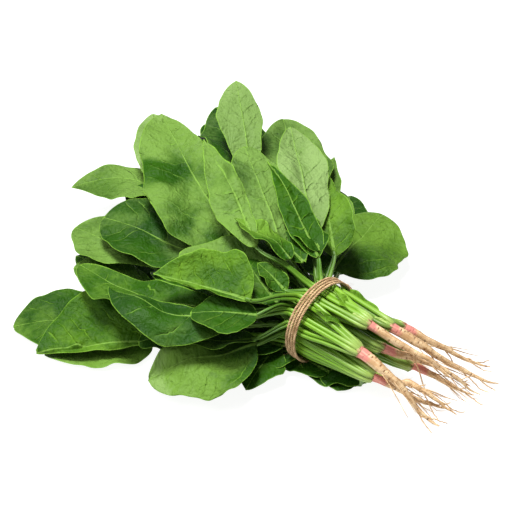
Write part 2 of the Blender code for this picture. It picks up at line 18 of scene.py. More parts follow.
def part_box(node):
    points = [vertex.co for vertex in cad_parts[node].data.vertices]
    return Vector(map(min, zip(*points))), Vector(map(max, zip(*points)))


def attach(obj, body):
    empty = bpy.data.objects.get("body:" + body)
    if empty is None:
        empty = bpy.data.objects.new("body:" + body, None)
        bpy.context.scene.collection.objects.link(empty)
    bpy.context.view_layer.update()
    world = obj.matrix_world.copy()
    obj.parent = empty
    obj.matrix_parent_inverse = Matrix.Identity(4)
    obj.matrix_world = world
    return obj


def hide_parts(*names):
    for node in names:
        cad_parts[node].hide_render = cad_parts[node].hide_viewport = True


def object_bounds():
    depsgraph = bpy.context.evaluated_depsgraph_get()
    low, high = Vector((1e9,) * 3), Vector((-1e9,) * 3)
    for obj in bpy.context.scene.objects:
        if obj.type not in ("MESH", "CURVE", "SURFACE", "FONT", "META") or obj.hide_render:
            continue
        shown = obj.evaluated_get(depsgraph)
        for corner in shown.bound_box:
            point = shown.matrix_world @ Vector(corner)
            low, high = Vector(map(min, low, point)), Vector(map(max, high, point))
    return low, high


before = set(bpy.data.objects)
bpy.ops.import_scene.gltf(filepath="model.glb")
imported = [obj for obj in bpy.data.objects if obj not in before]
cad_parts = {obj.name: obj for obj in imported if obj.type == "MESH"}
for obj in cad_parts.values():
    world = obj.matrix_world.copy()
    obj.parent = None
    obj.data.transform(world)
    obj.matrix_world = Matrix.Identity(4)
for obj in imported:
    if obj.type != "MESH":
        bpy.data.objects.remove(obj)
CAD_BOX = [list(corner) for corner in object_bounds()]

MM = 0.001

# Driving dimensions
TWINE_R = 1.05 * MM
TWINE_TURNS = 4
TWINE_PITCH = 2.3 * MM
TWINE_START = -22  # where on the bundle the turns begin, in degrees from +Y
BUNDLE_R = 29.6 * MM  # the round bundle of stalks inside the twine
TIE_HEIGHT = BUNDLE_R + 2 * TWINE_R + 0.4 * MM  # the bundle's middle above the table
STALK_R = 3.3 * MM  # at the twine
STALK_PITCH = 7.6 * MM  # between stalks inside the twine, both across and up
SLOTS_IN_ROW = (4, 6, 7, 7, 7, 6, 4)  # stalks in the twine, bottom row first
HELD = 7.5 * MM  # a stalk runs straight this far on either side of the twine's middle
BLADE_THICKNESS = 0.8 * MM
GAP = 0.6 * MM  # left between pieces that lie on each other

NEAR_ROWS = 3  # stations along a stalk on the root side of the twine
FAR_ROWS = 5  # and on the leaf side
BLADE_ROWS = 9
BLADE_COLUMNS = 5
PLAIN_ROWS = 7  # for a blade that others cover
PLAIN_COLUMNS = 3

# Each plant's crown: place along the axis, and offset from the bundle's middle (across, up), in
# millimetres
CROWNS = (
    (43, -14, 12),
    (37, 2, 22),
    (45, 16, 14),
    (45, 30, 4),
    (47, 6, 2),
    (56, -1, -15),
    (63, 20, -14),
    (56, -16, -4),
)
CROWN_SPREAD = 0.7  # the crowns' offsets are drawn in by this before each stalk takes the nearest one


@dataclass
class Leaf:
    """One leaf. row and slot give its stalk's place in the twine. An inner leaf has no stalk, and is
    only numbered by them.

    Lengths are in millimetres. The blade's foot is ahead of the twine, across from the bundle's middle
    and at a height above the table, or higher where the heap lifts it. Angles are in degrees: aim turns
    from straight ahead (-X) towards +Y."""

    row: int
    slot: int
    ahead: float
    across: float
    height: float
    aim: float
    length: float
    width: float
    pitch: float = -4  # slope of the blade's foot
    arch: float = 24  # how far the midrib bends down towards the tip
    swerve: float = 0  # how far it bends sideways, towards +Y
    roll: float = 0  # +Y side up
    fold: float = 6  # both halves up from the midrib
    wave: float = 2  # height of the margin's waves
    blunt: float = 0.5  # 0 for a pointed tip and 1 for a round one
    widest: float = 0.4  # where, from its foot (0) to its tip (1)
    skew: float = 0  # share by which the half towards +Y is wider, and the other narrower
    turned: bool = False  # the pale underside faces up
    plain: bool = False  # others cover it


# From the bottom of the heap to the top
LEAVES = (
    Leaf(0, 0, 30, -44, 2, -50, 50, 36, arch=2, fold=2, wave=1, plain=True),
    Leaf(0, 1, 91, -74, 3, -49, 77, 44, pitch=6, arch=14, fold=2, wave=1),
    Leaf(0, 2, 104, 26, 2, 12, 90, 54, arch=2, fold=2, wave=1, plain=True),
    Leaf(0, 3, 50, 64, 2, 70, 80, 54, arch=2, fold=2, wave=1, plain=True),
    Leaf(1, 0, 19, -26, 10, -104, 42, 34, pitch=1, arch=16, fold=4, blunt=0.3),
    Leaf(1, 1, 115, -67, 9, -45, 87, 58, pitch=5, arch=16, fold=4, blunt=0.8, widest=0.6),
    Leaf(1, 2, 116, -28, 4, -10, 84, 50, arch=4, fold=4, plain=True),
    Leaf(1, 3, 112, 18, 4, 4, 86, 50, arch=4, fold=4, plain=True),
    Leaf(1, 4, 96, 60, 4, 40, 84, 52, arch=4, fold=4, plain=True),
    Leaf(1, 5, 56, 74, 4, 62, 78, 48, arch=4, fold=4, plain=True),
    Leaf(2, 0, 77, -75, 16, -44, 92, 46, pitch=1, arch=14, roll=18, blunt=0.3, widest=0.5, skew=0.8),
    Leaf(2, 1, 58, -55, 22, -49, 48, 44, pitch=-1, arch=18),
    Leaf(2, 2, 121, -35, 10, -30, 64, 40, pitch=14, arch=10, blunt=0.7, widest=0.6),
    Leaf(2, 3, 124, 26, 6, 16, 84, 50, plain=True),
    Leaf(2, 4, 100, 54, 6, 30, 84, 50, plain=True),
    Leaf(2, 5, 76, 66, 8, 48, 84, 52, plain=True),
    Leaf(2, 6, 49, 85, 12, 44, 58, 20, pitch=17, arch=18, blunt=0.6, widest=0.6),
    Leaf(3, 3, 128, 30, 20, 6, 84, 50, plain=True),
    Leaf(3, 1, 131, -33, 26, -7, 69, 46, pitch=10, arch=18, blunt=0.7, widest=0.6, turned=True),
    Leaf(
        3, 2, 173, 32, 30, -15, 75, 44, pitch=9, arch=18, swerve=-46, roll=-4, fold=10, wave=1,
        blunt=0.2, widest=0.45, skew=-0.3,
    ),
    Leaf(
        3, 4, 160, 24, 40, 24, 77, 46, pitch=21, arch=18, swerve=20, blunt=0.5, widest=0.5, skew=0.2,
        turned=True,
    ),
    Leaf(3, 5, 77, 81, 22, 65, 60, 26, pitch=27, arch=18, blunt=0.1, turned=True),
    Leaf(3, 6, 33, 53, 24, 77, 79, 62, pitch=-2, arch=8, fold=-6, blunt=0.85, widest=0.42, skew=0.25),
    Leaf(
        3, 0, 19, -45, 28, -54, 79, 46, pitch=-8, arch=12, roll=4, fold=-6, blunt=1, widest=0.42,
        skew=-0.4, turned=True,
    ),
    Leaf(4, 0, 19, -46, 34, -42, 56, 22, pitch=-2, arch=12, roll=-10, fold=14, blunt=0.2),
    Leaf(
        4, 1, 38, -37, 44, -41, 132, 42, pitch=-3, arch=0, swerve=48, fold=14, wave=3, blunt=0.8,
        widest=0.5, skew=-0.3,
    ),
    Leaf(4, 2, 98, -10, 34, -13, 86, 70, pitch=13, arch=18, roll=2, blunt=0.9, widest=0.55, skew=0.15),
    Leaf(
        4, 3, 86, 8, 45, 19, 138, 66, pitch=15, arch=14, swerve=10, wave=3, blunt=0.75, widest=0.36,
        skew=-0.28, turned=True,
    ),
    Leaf(4, 5, 107, 60, 36, 27, 98, 54, pitch=21, arch=18, blunt=0.4, widest=0.5),
    Leaf(4, 6, 82, 79, 30, 37, 87, 50, pitch=24, arch=18, blunt=0.7, widest=0.5, skew=0.05),
    Leaf(4, 4, 110, 53, 60, 39, 86, 32, pitch=31, arch=18, blunt=0.6, widest=0.6, skew=-0.15, turned=True),
    Leaf(
        5, 0, 33, -53, 43, -45, 97, 36, pitch=0, arch=2, swerve=50, roll=10, blunt=0.3, widest=0.5,
        skew=-0.35,
    ),
    Leaf(5, 1, 20, -43, 50, -39, 46, 36, pitch=6, arch=12, blunt=1, widest=0.5, skew=-0.15, turned=True),
    Leaf(5, 2, 24, -12, 52, -14, 82, 54, pitch=10, arch=16, roll=6, blunt=0.8, turned=True),
    Leaf(6, 1, 19, -14, 58, 6, 30, 18, pitch=16, arch=8, fold=14, blunt=0.3),
    Leaf(
        5, 3, 42, 8, 66, 31, 94, 40, pitch=23, arch=18, roll=-8, fold=2, blunt=1, widest=0.52,
        skew=0.05, turned=True,
    ),
    Leaf(
        5, 5, 19, 38, 56, 40, 76, 32, pitch=24, arch=18, roll=4, fold=12, wave=3, blunt=0.2,
        widest=0.35, skew=0.1,
    ),
    Leaf(
        5, 4, 38, 36, 67, 39, 98, 36, pitch=20, arch=18, roll=-4, fold=3, blunt=0.75, widest=0.48,
        skew=0.1, turned=True,
    ),
    Leaf(
        6, 0, 26, -43, 64, -22, 72, 36, pitch=9, arch=14, roll=20, fold=10, blunt=0, widest=0.35,
        skew=0.75,
    ),
    Leaf(
        6, 2, 53, -7, 73, 28, 111, 25, pitch=15, arch=18, roll=10, fold=4, blunt=0.15, widest=0.38,
        skew=-0.35, turned=True,
    ),
    Leaf(
        6, 3, 19, 20, 66, 24, 89, 24, pitch=22, arch=18, roll=6, fold=12, blunt=-0.6, widest=0.3,
        turned=True,
    ),
)

# It lies on the table under the stalks, between its crown and the twine
LOOSE_LEAF = Leaf(-1, 0, -43, -9, 3, -8, 34, 26, pitch=-2, arch=0, fold=0, wave=0.5, plain=True)
LOOSE_LEAF_PLANT = 7

# Each plant's root: where its tip lies (along the axis, across), its radius at the crown, and its side
# roots. For each of these, where along the root it starts, how far it turns off towards +Y in degrees,
# and its length.
ROOTS = (
    ((111, 0), 4.5, ((0.4, 26, 26), (0.6, -20, 26), (0.8, 18, 18))),
    ((114, 41), 3.4, ((0.35, -22, 30), (0.65, 24, 26))),
    ((115, 60), 3.9, ((0.3, 18, 30), (0.55, -18, 32), (0.75, -22, 20))),
    ((100, 70), 3.3, ((0.4, -16, 26), (0.7, 20, 20))),
    ((102, 44), 3.6, ((0.45, -20, 28), (0.7, 22, 20))),
    ((113, 16), 3.3, ((0.4, -22, 26), (0.7, 18, 22))),
    ((109, 40), 3.2, ((0.4, 20, 24), (0.65, -22, 26))),
    ((106, 18), 3.2, ((0.35, -24, 26), (0.65, 20, 22))),
)
ROOT_ORDER = (7, 5, 6, 4, 0, 3, 2, 1)  # the order in which they are laid, lowest first
CROWN_LENGTH = 13 * MM
ROOT_ROWS = 12
ROOTLET_ROWS = 6
NECK_GAP = 0.05 * MM  # between a crown and its root
TUBE_PASSES, BLADE_PASSES = 8, 10  # rises made until a coarse tube or blade clears the heap
MIDDLE_STRIP = 0.55  # share of a tube's width that has to clear the heap


def slot_place(row, slot):
    """Offset (across, up) of a stalk from the bundle's middle, inside the twine."""
    across = slot - (SLOTS_IN_ROW[row] - 1) / 2
    up = row - (len(SLOTS_IN_ROW) - 1) / 2
    return STALK_PITCH * across, STALK_PITCH * up


def plant_of(leaf):
    """Number of the plant whose crown is nearest to the stalk's place in the twine."""
    across, up = slot_place(leaf.row, leaf.slot)
    away = [
        math.hypot(across / MM - CROWN_SPREAD * y, up / MM - CROWN_SPREAD * z) for _, y, z in CROWNS
    ]
    return away.index(min(away))


def crown_point(plant):
    """A crown's middle: its place along the axis, and its offset added to the bundle's middle."""
    x, y, z = CROWNS[plant]
    return np.array([x * MM, y * MM, TIE_HEIGHT + z * MM])


def heading(azimuth, slope):
    """Unit vector away from the roots, turned towards +Y by azimuth and up by slope, in degrees."""
    a, s = math.radians(azimuth), math.radians(slope)
    return np.array([-math.cos(a) * math.cos(s), math.sin(a) * math.cos(s), math.sin(s)])


def hermite(start, start_pull, end, end_pull, count):
    """Points on the cubic from start to end that leaves along start_pull and arrives along end_pull."""
    t = np.linspace(0, 1, count)[:, None]
    return (
        (2 * t**3 - 3 * t**2 + 1) * start
        + (t**3 - 2 * t**2 + t) * start_pull
        + (3 * t**2 - 2 * t**3) * end
        + (t**3 - t**2) * end_pull
    )


def smooth_step(value, low, high):
    """0 below low, 1 above high, and three t squared less two t cubed between, t being the share of the
    way."""
    t = np.clip((value - low) / (high - low), 0, 1)
    return t * t * (3 - 2 * t)


class Heap:
    """Height map of all that has been laid: the highest point in each cell."""

    CELL = 1.2 * MM  # side of a cell
    HALF = 0.32  # the map reaches this far on each side of the twine's middle

    def __init__(self):
        cells = int(2 * self.HALF / self.CELL)
        self.top = np.full((cells, cells), -GAP)

    def cell(self, points):
        """The cell that holds each point: how many cells it is from the map's corner, rounded down."""
        return tuple(((points[:, k] + self.HALF) / self.CELL).astype(int) for k in (0, 1))

    def around(self, points):
        """The heap's height at each point, taking in the eight cells round its own."""
        i, j = self.cell(points)
        return np.max([self.top[i + a, j + b] for a in (-1, 0, 1) for b in (-1, 0, 1)], axis=0)

    def add(self, points):
        """Lifts each cell to the highest of the points in it."""
        np.maximum.at(self.top, self.cell(points), points[:, 2])


def samples(grid, fine):
    """Points spread over a grid's triangles, and the share that each corner of its quad has in each
    point.

    The corners are those at (row, column), (row + 1, column), (row, column + 1) and
    (row + 1, column + 1), and the quad is split from the first of them to the last. Returns points,
    shares, rows and columns."""
    side = (np.arange(fine) + 0.5) / fine
    a, b = (value.ravel() for value in np.meshgrid(side, side, indexing="ij"))
    low, high = np.minimum(a, b), np.maximum(a, b)
    share = np.stack([1 - high, np.where(a > b, a - b, 0), np.where(b > a, b - a, 0), low], axis=1)
    r, c = np.meshgrid(np.arange(grid.shape[0] - 1), np.arange(grid.shape[1] - 1), indexing="ij")
    r, c = r.ravel(), c.ravel()
    corners = np.stack([grid[r, c], grid[r + 1, c], grid[r, c + 1], grid[r + 1, c + 1]], axis=1)
    points = np.einsum("sk,qkd->qsd", share, corners)
    count = len(share)
    shares = np.tile(share, (len(r), 1))
    return points.reshape(-1, 3), shares, np.repeat(r, count), np.repeat(c, count)


def raise_needed(heap, skin, free, fine=6):
    """How far each point of a grid has to rise for its triangles to clear the heap by GAP.

    free gives the share of that which is asked for at each X: it is 0 where stalks and crowns are side
    by side."""
    points, share, r, c = samples(skin, fine)
    short = np.maximum(heap.around(points) + GAP - points[:, 2], 0) * free(points[:, 0])
    strength = (share**2).sum(axis=1)
    need = np.zeros(skin.shape[:2])
    for k, (a, b) in enumerate(((0, 0), (1, 0), (0, 1), (1, 1))):
        np.maximum.at(need, (r + a, c + b), short * share[:, k] / strength)
    return need


def past_twine(x):
    """0 where the twine holds a stalk, and 1 further ahead."""
    return smooth_step(-x, HELD * 1.1, HELD + 14 * MM)


def mean_round(values):
    """At each grid point, the mean of the four points beside it. An edge stands in for what is past
    it."""
    padded = np.pad(values, 1, mode="edge")
    return (padded[:-2, 1:-1] + padded[2:, 1:-1] + padded[1:-1, :-2] + padded[1:-1, 2:]) / 4


def eased(need, passes):
    """need spread smoothly to the points round it, and nowhere less than it was."""
    raised = need.copy()
    for _ in range(passes):
        raised = np.maximum(need, 0.5 * (raised + mean_round(raised)))
    return raised


def grid_normals(grid):
    """Unit normals of a grid, on the side that faces up."""
    normal = np.cross(np.gradient(grid, axis=1), np.gradient(grid, axis=0))
    normal /= np.linalg.norm(normal, axis=2, keepdims=True)
    return normal * np.where(normal[..., 2:] < 0, -1, 1)


def midrib_line(grid):
    """The line along a grid's middle: its middle column, or the mean of the two beside the middle."""
    columns = grid.shape[1]
    return (grid[:, columns // 2] + grid[:, (columns - 1) // 2]) / 2


def tube_skins(line, radius, breadth=1.0, strips=7):
    """The lower and the upper surface of a tube, as grids: half circles carried level along its line.
    breadth is the share of its width that they take in."""
    direction = np.gradient(line, axis=0)
    across = np.stack([-direction[:, 1], direction[:, 0], np.zeros(len(line))], axis=1)
    across /= np.maximum(np.linalg.norm(across, axis=1, keepdims=True), 1e-9)
    share = breadth * np.sin(np.linspace(-1, 1, strips) * math.pi / 2)
    middle = line[:, None] + across[:, None] * (radius[:, None] * share)[..., None]
    rise = np.zeros_like(middle)
    rise[..., 2] = radius[:, None] * np.sqrt(1 - share**2)
    return middle - rise, middle + rise


def lay_tube(heap, line, radius, free):
    """Raises a tube's stations until its middle strip clears the heap, so that tubes can lie side by
    side."""
    raised = np.zeros(len(line))
    loose = np.minimum(3 * free(line[:, 0]), 1)
    for _ in range(TUBE_PASSES):
        laid = line.copy()
        laid[:, 2] += eased(raised[:, None], 2)[:, 0] * loose
        need = raise_needed(heap, tube_skins(laid, radius, MIDDLE_STRIP)[0], free)
        raised += need.max(axis=1) * free(line[:, 0])
    return laid


def add_tube(heap, line, radius):
    """Adds a tube's upper surface to the heap."""
    heap.add(samples(tube_skins(line, radius)[1], 8)[0])


def lay_blade(heap, grid):
    """Raises a blade's grid until it clears the heap. Its foot stays level."""
    half = half_thickness(grid)
    raised = np.zeros(grid.shape[:2])
    for _ in range(BLADE_PASSES):
        laid = grid.copy()
        laid[..., 2] += eased(raised, 2)
        need = raise_needed(heap, laid - grid_normals(laid) * half, past_twine)
        need[0] = need[0].max()
        raised += need
    return laid


def bulge(leaf, share):
    """Rises from 0 at the foot to 1 at the widest place and falls to 0 at the tip: the sine of pi times
    a power of the share, and itself to a power that is lower for a blunter tip."""
    bent = share ** (math.log(0.5) / math.log(leaf.widest))
    return np.sin(math.pi * bent) ** (0.9 - 0.4 * leaf.blunt)


def outline(leaf, share):
    """A coarse blade's half-width as a share of its greatest: the bulge, and never under 0.08."""
    return np.maximum(bulge(leaf, share), 0.08)


def outline_fine(leaf, share):
    """A fine blade's half-width: the bulge, which closes nearly to a point, and is a little wider at
    the foot."""
    return np.maximum(bulge(leaf, share), 0.02) + 0.06 * (1 - share) ** 12


def coarse_columns(leaf):
    """Where a coarse blade's columns are, from its -Y margin (-1) to its +Y margin (1)."""
    return np.linspace(-1, 1, PLAIN_COLUMNS if leaf.plain else BLADE_COLUMNS)


def blade_line(leaf, foot, rows=None):
    """The midrib, which bends down and sideways evenly along its length."""
    steps = (rows or (PLAIN_ROWS if leaf.plain else BLADE_ROWS)) - 1
    points = [foot]
    for k in range(steps):
        share = (k + 0.5) / steps
        step = heading(leaf.aim + leaf.swerve * share, leaf.pitch - leaf.arch * share)
        points.append(points[-1] + step * leaf.length * MM / steps)
    return np.array(points)


def blade_grid(leaf, line, u, phase, width_at):
    """The blade's middle surface: rows along the midrib, columns across it towards +Y.

    A point is on the midrib's line, moved aside by u times the half-width and up by the fold's slope
    and by a wave that runs along the blade and grows with the square of u. width_at is the outline's
    function."""
    share = np.linspace(0, 1, len(line))[:, None]
    u = u[None, :]
    along = np.gradient(line, axis=0)
    along /= np.linalg.norm(along, axis=1, keepdims=True)
    level = np.cross([0, 0, 1.0], -along)
    level /= np.linalg.norm(level, axis=1, keepdims=True)
    up = np.cross(-along, level)
    roll = math.radians(leaf.roll)
    side = level * math.cos(roll) + up * math.sin(roll)
    normal = up * math.cos(roll) - level * math.sin(roll)
    width = leaf.width * MM / 2 * width_at(leaf, share) * (1 + leaf.skew * np.sign(u))
    fold = math.radians(leaf.fold) * (0.5 + 0.5 * np.abs(u))
    waves = leaf.wave * MM * u**2 * np.sin(2 * math.pi * (1.6 * share + phase) + np.sign(u) * 0.9)
    out = u * width * np.cos(fold)
    rise = np.abs(u) * width * np.sin(fold) + waves * np.sin(math.pi * share) ** 0.5
    return line[:, None] + out[..., None] * side[:, None] + rise[..., None] * normal[:, None]


def half_thickness(grid):
    """Half the blade's thickness at each grid point. The midrib is as thick as the stalk at the foot."""
    rows, columns = grid.shape[:2]
    share = np.linspace(0, 1, rows)[:, None]
    rib = np.abs(np.linspace(-1, 1, columns))[None, :] < 0.1
    half = BLADE_THICKNESS / 2 + rib * np.maximum(1.2 - 3.2 * share, 0) * MM
    return half[..., None]


def stalk_radius(count):
    """Radius along a stalk from the crown to the blade."""
    share = np.linspace(0, 1, count)
    return STALK_R * np.interp(share, [0, 0.2, 0.45, 0.7, 1], [1.1, 1.04, 1, 0.72, 0.5])


def lay_leaf(heap, leaf, phase):
    """The stalk's stations, their radii and the blade's grid, laid on the heap."""
    across, up = slot_place(leaf.row, leaf.slot)
    tie = np.array([0, across, TIE_HEIGHT + up])
    crown = crown_point(plant_of(leaf))
    apart = tie - crown
    apart[0] = 0
    start = crown + 3 * MM * apart / max(np.linalg.norm(apart), MM)
    ahead = np.array([-1.0, 0, 0])
    foot = np.array([-leaf.ahead, leaf.across, leaf.height]) * MM
    reach = np.linalg.norm(foot - tie)
    near = hermite(start, ahead * crown[0], tie - ahead * HELD, ahead * crown[0] * 0.8, NEAR_ROWS)
    far = hermite(
        tie + ahead * HELD, ahead * reach * 0.4, foot, heading(leaf.aim, leaf.pitch) * reach * 0.4, FAR_ROWS
    )
    line = np.concatenate([near, far])
    radius = stalk_radius(len(line))
    line = lay_tube(heap, line, radius, past_twine)
    flat_blade = blade_grid(leaf, blade_line(leaf, line[-1]), coarse_columns(leaf), phase, outline)
    grid = lay_blade(heap, flat_blade)
    lifted = midrib_line(grid)[0, 2] - line[-1, 2]
    line[NEAR_ROWS:, 2] += lifted * np.linspace(0, 1, FAR_ROWS) ** 1.5
    return line, radius, grid


def lay_loose_leaf(heap, leaf, phase):
    """The same for a leaf that leaves its crown below the others and doesn't reach the twine."""
    crown = crown_point(LOOSE_LEAF_PLANT)
    foot = np.array([-leaf.ahead, leaf.across, leaf.height]) * MM
    pull = np.linalg.norm(foot - crown)
    line = hermite(crown, [-pull, 0, 0], foot, heading(leaf.aim, leaf.pitch) * pull, FAR_ROWS)
    flat_blade = blade_grid(leaf, blade_line(leaf, foot), coarse_columns(leaf), phase, outline)
    grid = lay_blade(heap, flat_blade)
    line[-1] = midrib_line(grid)[0]
    return line, stalk_radius(FAR_ROWS) * 0.6, grid


def lay_bunch(heap):
    """Each leaf with its plant's number, stalk and blade, laid from the bottom of the heap to its
    top."""
    rng = np.random.default_rng(7)
    laid = [(LOOSE_LEAF, LOOSE_LEAF_PLANT, *lay_loose_leaf(heap, LOOSE_LEAF, 0), 0)]
    for leaf in LEAVES:
        phase = rng.random()
        line, radius, grid = lay_leaf(heap, leaf, phase)
        add_tube(heap, line, radius)
        heap.add(samples(grid + grid_normals(grid) * half_thickness(grid), 10)[0])
        laid.append((leaf, plant_of(leaf), line, radius, grid, phase))
    return laid


def crown_frame(plant):
    """The crown's middle, and the unit vector along its root, which leads towards the root's tip."""
    centre = crown_point(plant)
    (ahead, across), _, _ = ROOTS[plant]
    towards = np.array([ahead * MM, across * MM, 6 * MM]) - centre
    towards *= [1, 0.6, 0.6]
    return centre, towards / np.linalg.norm(towards)


def lay_root(heap, plant):
    """The stations and radii of the taproot and of its side roots, laid on the table and on the roots
    there."""
    centre, ahead = crown_frame(plant)
    (tip_ahead, tip_across), neck, side_roots = ROOTS[plant]
    start = centre + ahead * (0.45 * CROWN_LENGTH + NECK_GAP)
    collar = start + ahead * 1.5 * MM
    tip = np.array([tip_ahead, tip_across, 1.5]) * MM
    reach = np.linalg.norm(tip - collar)
    line = hermite(collar, ahead * reach, tip, (tip - collar) * [1, 1, 0.1], ROOT_ROWS - 1)
    line = np.concatenate([[start], line])
    share = np.linspace(0, 1, ROOT_ROWS)
    radius = neck * MM * np.interp(share, [0, 0.3, 0.65, 0.9, 1], [1, 0.82, 0.56, 0.3, 0.15])

    def past_crown(x):
        """0 inside the crown, and 1 further along the root."""
        return smooth_step(x, start[0] + 2 * MM, start[0] + 16 * MM)

    line = lay_tube(heap, line, radius, past_crown)
    tubes = [(line, radius)]
    for share, turn, length in side_roots:
        row = share * (ROOT_ROWS - 1)
        station = int(row)
        base = line[station] + (line[station + 1] - line[station]) * (row - station)
        along = line[station + 1] - line[station]
        azimuth = math.atan2(along[1], along[0])
        bend = np.linspace(0.4, 1.4, ROOTLET_ROWS - 1)[:, None] * math.radians(turn) + azimuth
        steps = np.concatenate([np.cos(bend), np.sin(bend), 0 * bend], axis=1)
        steps = steps * length * MM / (ROOTLET_ROWS - 1)
        side = base + np.concatenate([[np.zeros(3)], np.cumsum(steps, axis=0)])
        side[:, 2] += (0.8 * MM - base[2]) * smooth_step(np.linspace(0, 1, ROOTLET_ROWS), 0, 0.8)
        slim = MM * np.linspace(0.9, 0.5, ROOTLET_ROWS)
        tubes.append((lay_tube(heap, side, slim, past_crown), slim))
    return tubes


def lay_roots(heap):
    """Each plant's taproot and side roots, laid on the crowns, the table and each other."""
    for plant in range(len(CROWNS)):
        centre, ahead = crown_frame(plant)
        share = np.linspace(-0.3, 0.45, 6)[:, None]
        add_tube(heap, centre + share * CROWN_LENGTH * ahead, np.full(6, 6 * MM))
    tubes = {}
    for plant in ROOT_ORDER:
        tubes[plant] = lay_root(heap, plant)
        for line, radius in tubes[plant]:
            add_tube(heap, line, radius)
    return tubes


def twine_line():
    """One length of twine: close turns round the stalks, with each end brought up and slanting over
    them."""
    inner = BUNDLE_R + TWINE_R + 0.05 * MM
    outer = inner + 2 * TWINE_R + 0.15 * MM
    half = TWINE_TURNS * TWINE_PITCH / 2
    coil = np.linspace(0, TWINE_TURNS * 2 * math.pi, TWINE_TURNS * 22 + 1)
    turn = coil
    x = -half + coil / (2 * math.pi) * TWINE_PITCH
    r = np.full(len(coil), inner)
    # past the last turn: angle, place along the axis in half widths of the band, and height above the stalks
    tail = np.array([
        (0.12, 1.12, 0.15), (0.26, 1.32, 0.6), (0.4, 1.3, 1), (0.52, 1.0, 1), (0.64, 0.4, 1), (0.76, -0.3, 1),
    ])
    for end in (1, -1):
        tail_turn = (coil[-1] if end > 0 else 0) + end * tail[:, 0]
        tail_x = end * half * tail[:, 1]
        tail_r = inner + (outer - inner) * tail[:, 2]
        order = slice(None) if end > 0 else slice(None, None, -1)
        parts = [(turn, tail_turn[order]), (x, tail_x[order]), (r, tail_r[order])]
        turn, x, r = (np.concatenate(pair if end > 0 else pair[::-1]) for pair in parts)
    turn = turn + math.radians(TWINE_START)
    return np.stack([x, r * np.cos(turn), TIE_HEIGHT + r * np.sin(turn)], axis=1)


# --------------------------------------------------------------------------------------------------
# Fine surfaces
# --------------------------------------------------------------------------------------------------

SKIN_HALF = 0.24 * MM  # half a blade's thickness
FINE_ROWS, FINE_COLUMNS = 86, 54
COVERED_ROWS, COVERED_COLUMNS = 36, 24
FINE_GAP = 0.25 * MM
STRAND_SIZE, STRAND_AWAY = 0.46, 0.54  # three round stalks in a round one, as shares of its radius
SIDE_SHARE = 0.66  # how thick the fine side roots are, as a share of the coarse ones
SIDE_ROOTS, HAIR_ROOTS = 4, 3  # on each taproot
PLY_PITCH = 6.5 * MM
PLY_AWAY, PLY_SIZE = 0.48, 0.5  # a ply's distance from the twine's middle and its radius, in twine radii
TWINE_ROWS = 760
TWINE_HAIRS = 260
HAIR_SIZE, HAIR_LENGTHS = 0.045 * MM, (1.5, 4.5)  # a loose fibre's radius, and its length in millimetres
LOWEST = 0.03 * MM  # no point is nearer to the table
LOW_SKIN = 0.05 * MM  # a blade's underside is no nearer to it
CLEARANCE = 0.1 * MM  # left under a fine piece, and between a blade's two skins
PATTERN_STEP = 0.37  # between the patterns of leaves side by side, so that no two leaves look alike

# Reliefs of a fine blade, in millimetres: height, and length of the ripples
SWELL_HEIGHT, SWELL_LENGTH = 1.9, 46
RUFFLE_LEAST, RUFFLE_FOR_WAVE, RUFFLE_LENGTH = 0.3, 0.35, 19
QUILT_HEIGHT, QUILT_PATCH = 0.9, 40
CRUMPLE_HEIGHT, CRUMPLE_LENGTH = 0.5, 10
VEIN_WANDER, VEIN_LENGTH = 0.16, 38  # the wander is a share of the space between two side veins
# A band of painted shade across a blade, as beside a crease.
SHADE_BAND_AT, SHADE_BAND_WIDTH = 0.55, 0.09  # a darker band across a blade, as shares of its length
RIDGE, GROOVE = 1.15, 0.45  # the midrib's, in midrib radii

CAMERA_AZIMUTH, CAMERA_ELEVATION, LENS, SENSOR = 42, 42, 220, 36
VIEW_WIDTH = 0.3584  # what the frame takes in at the twine
FLOOR_HALF, FLOOR_GLOW, SKY_GLOW = 6.0, 0.92, 0.2
LIGHTS = (  # name, place, size and power
    ("key", (-0.18, -0.12, 1.35), 0.4, 30),
    ("fill", (-0.3, -0.75, 1.1), 0.7, 6),
)
LIT_POINT = (0, 0, 0.03)
TIE_RIGHT, TIE_BELOW = 0.123, 0.125  # how far the twine is from the frame's middle, in frame widths


class LeafToneAndShade:
    """A leaf's tone and shade: tone is 0 for a dark face and 1 for a pale one, partly the leaf's own colour
    and partly painted shade and light, darker for leaves that lie in shade. fresh is 0 for blue-green and
    1 for yellow-green, and pucker is how deeply the blade is quilted between its veins. aside and tipward
    are painted light and shade: how much the tone rises from the middle to the +Y margin, and from the
    middle to the tip. band is painted shade, as beside a crease: how much the tone falls in a band across
    the middle."""

    def __init__(self, tone=0.35, fresh=0.4, pucker=0.35, aside=0.0, tipward=0.0, band=0.0):
        self.tone, self.fresh, self.pucker = tone, fresh, pucker
        self.aside, self.tipward, self.band = aside, tipward, band
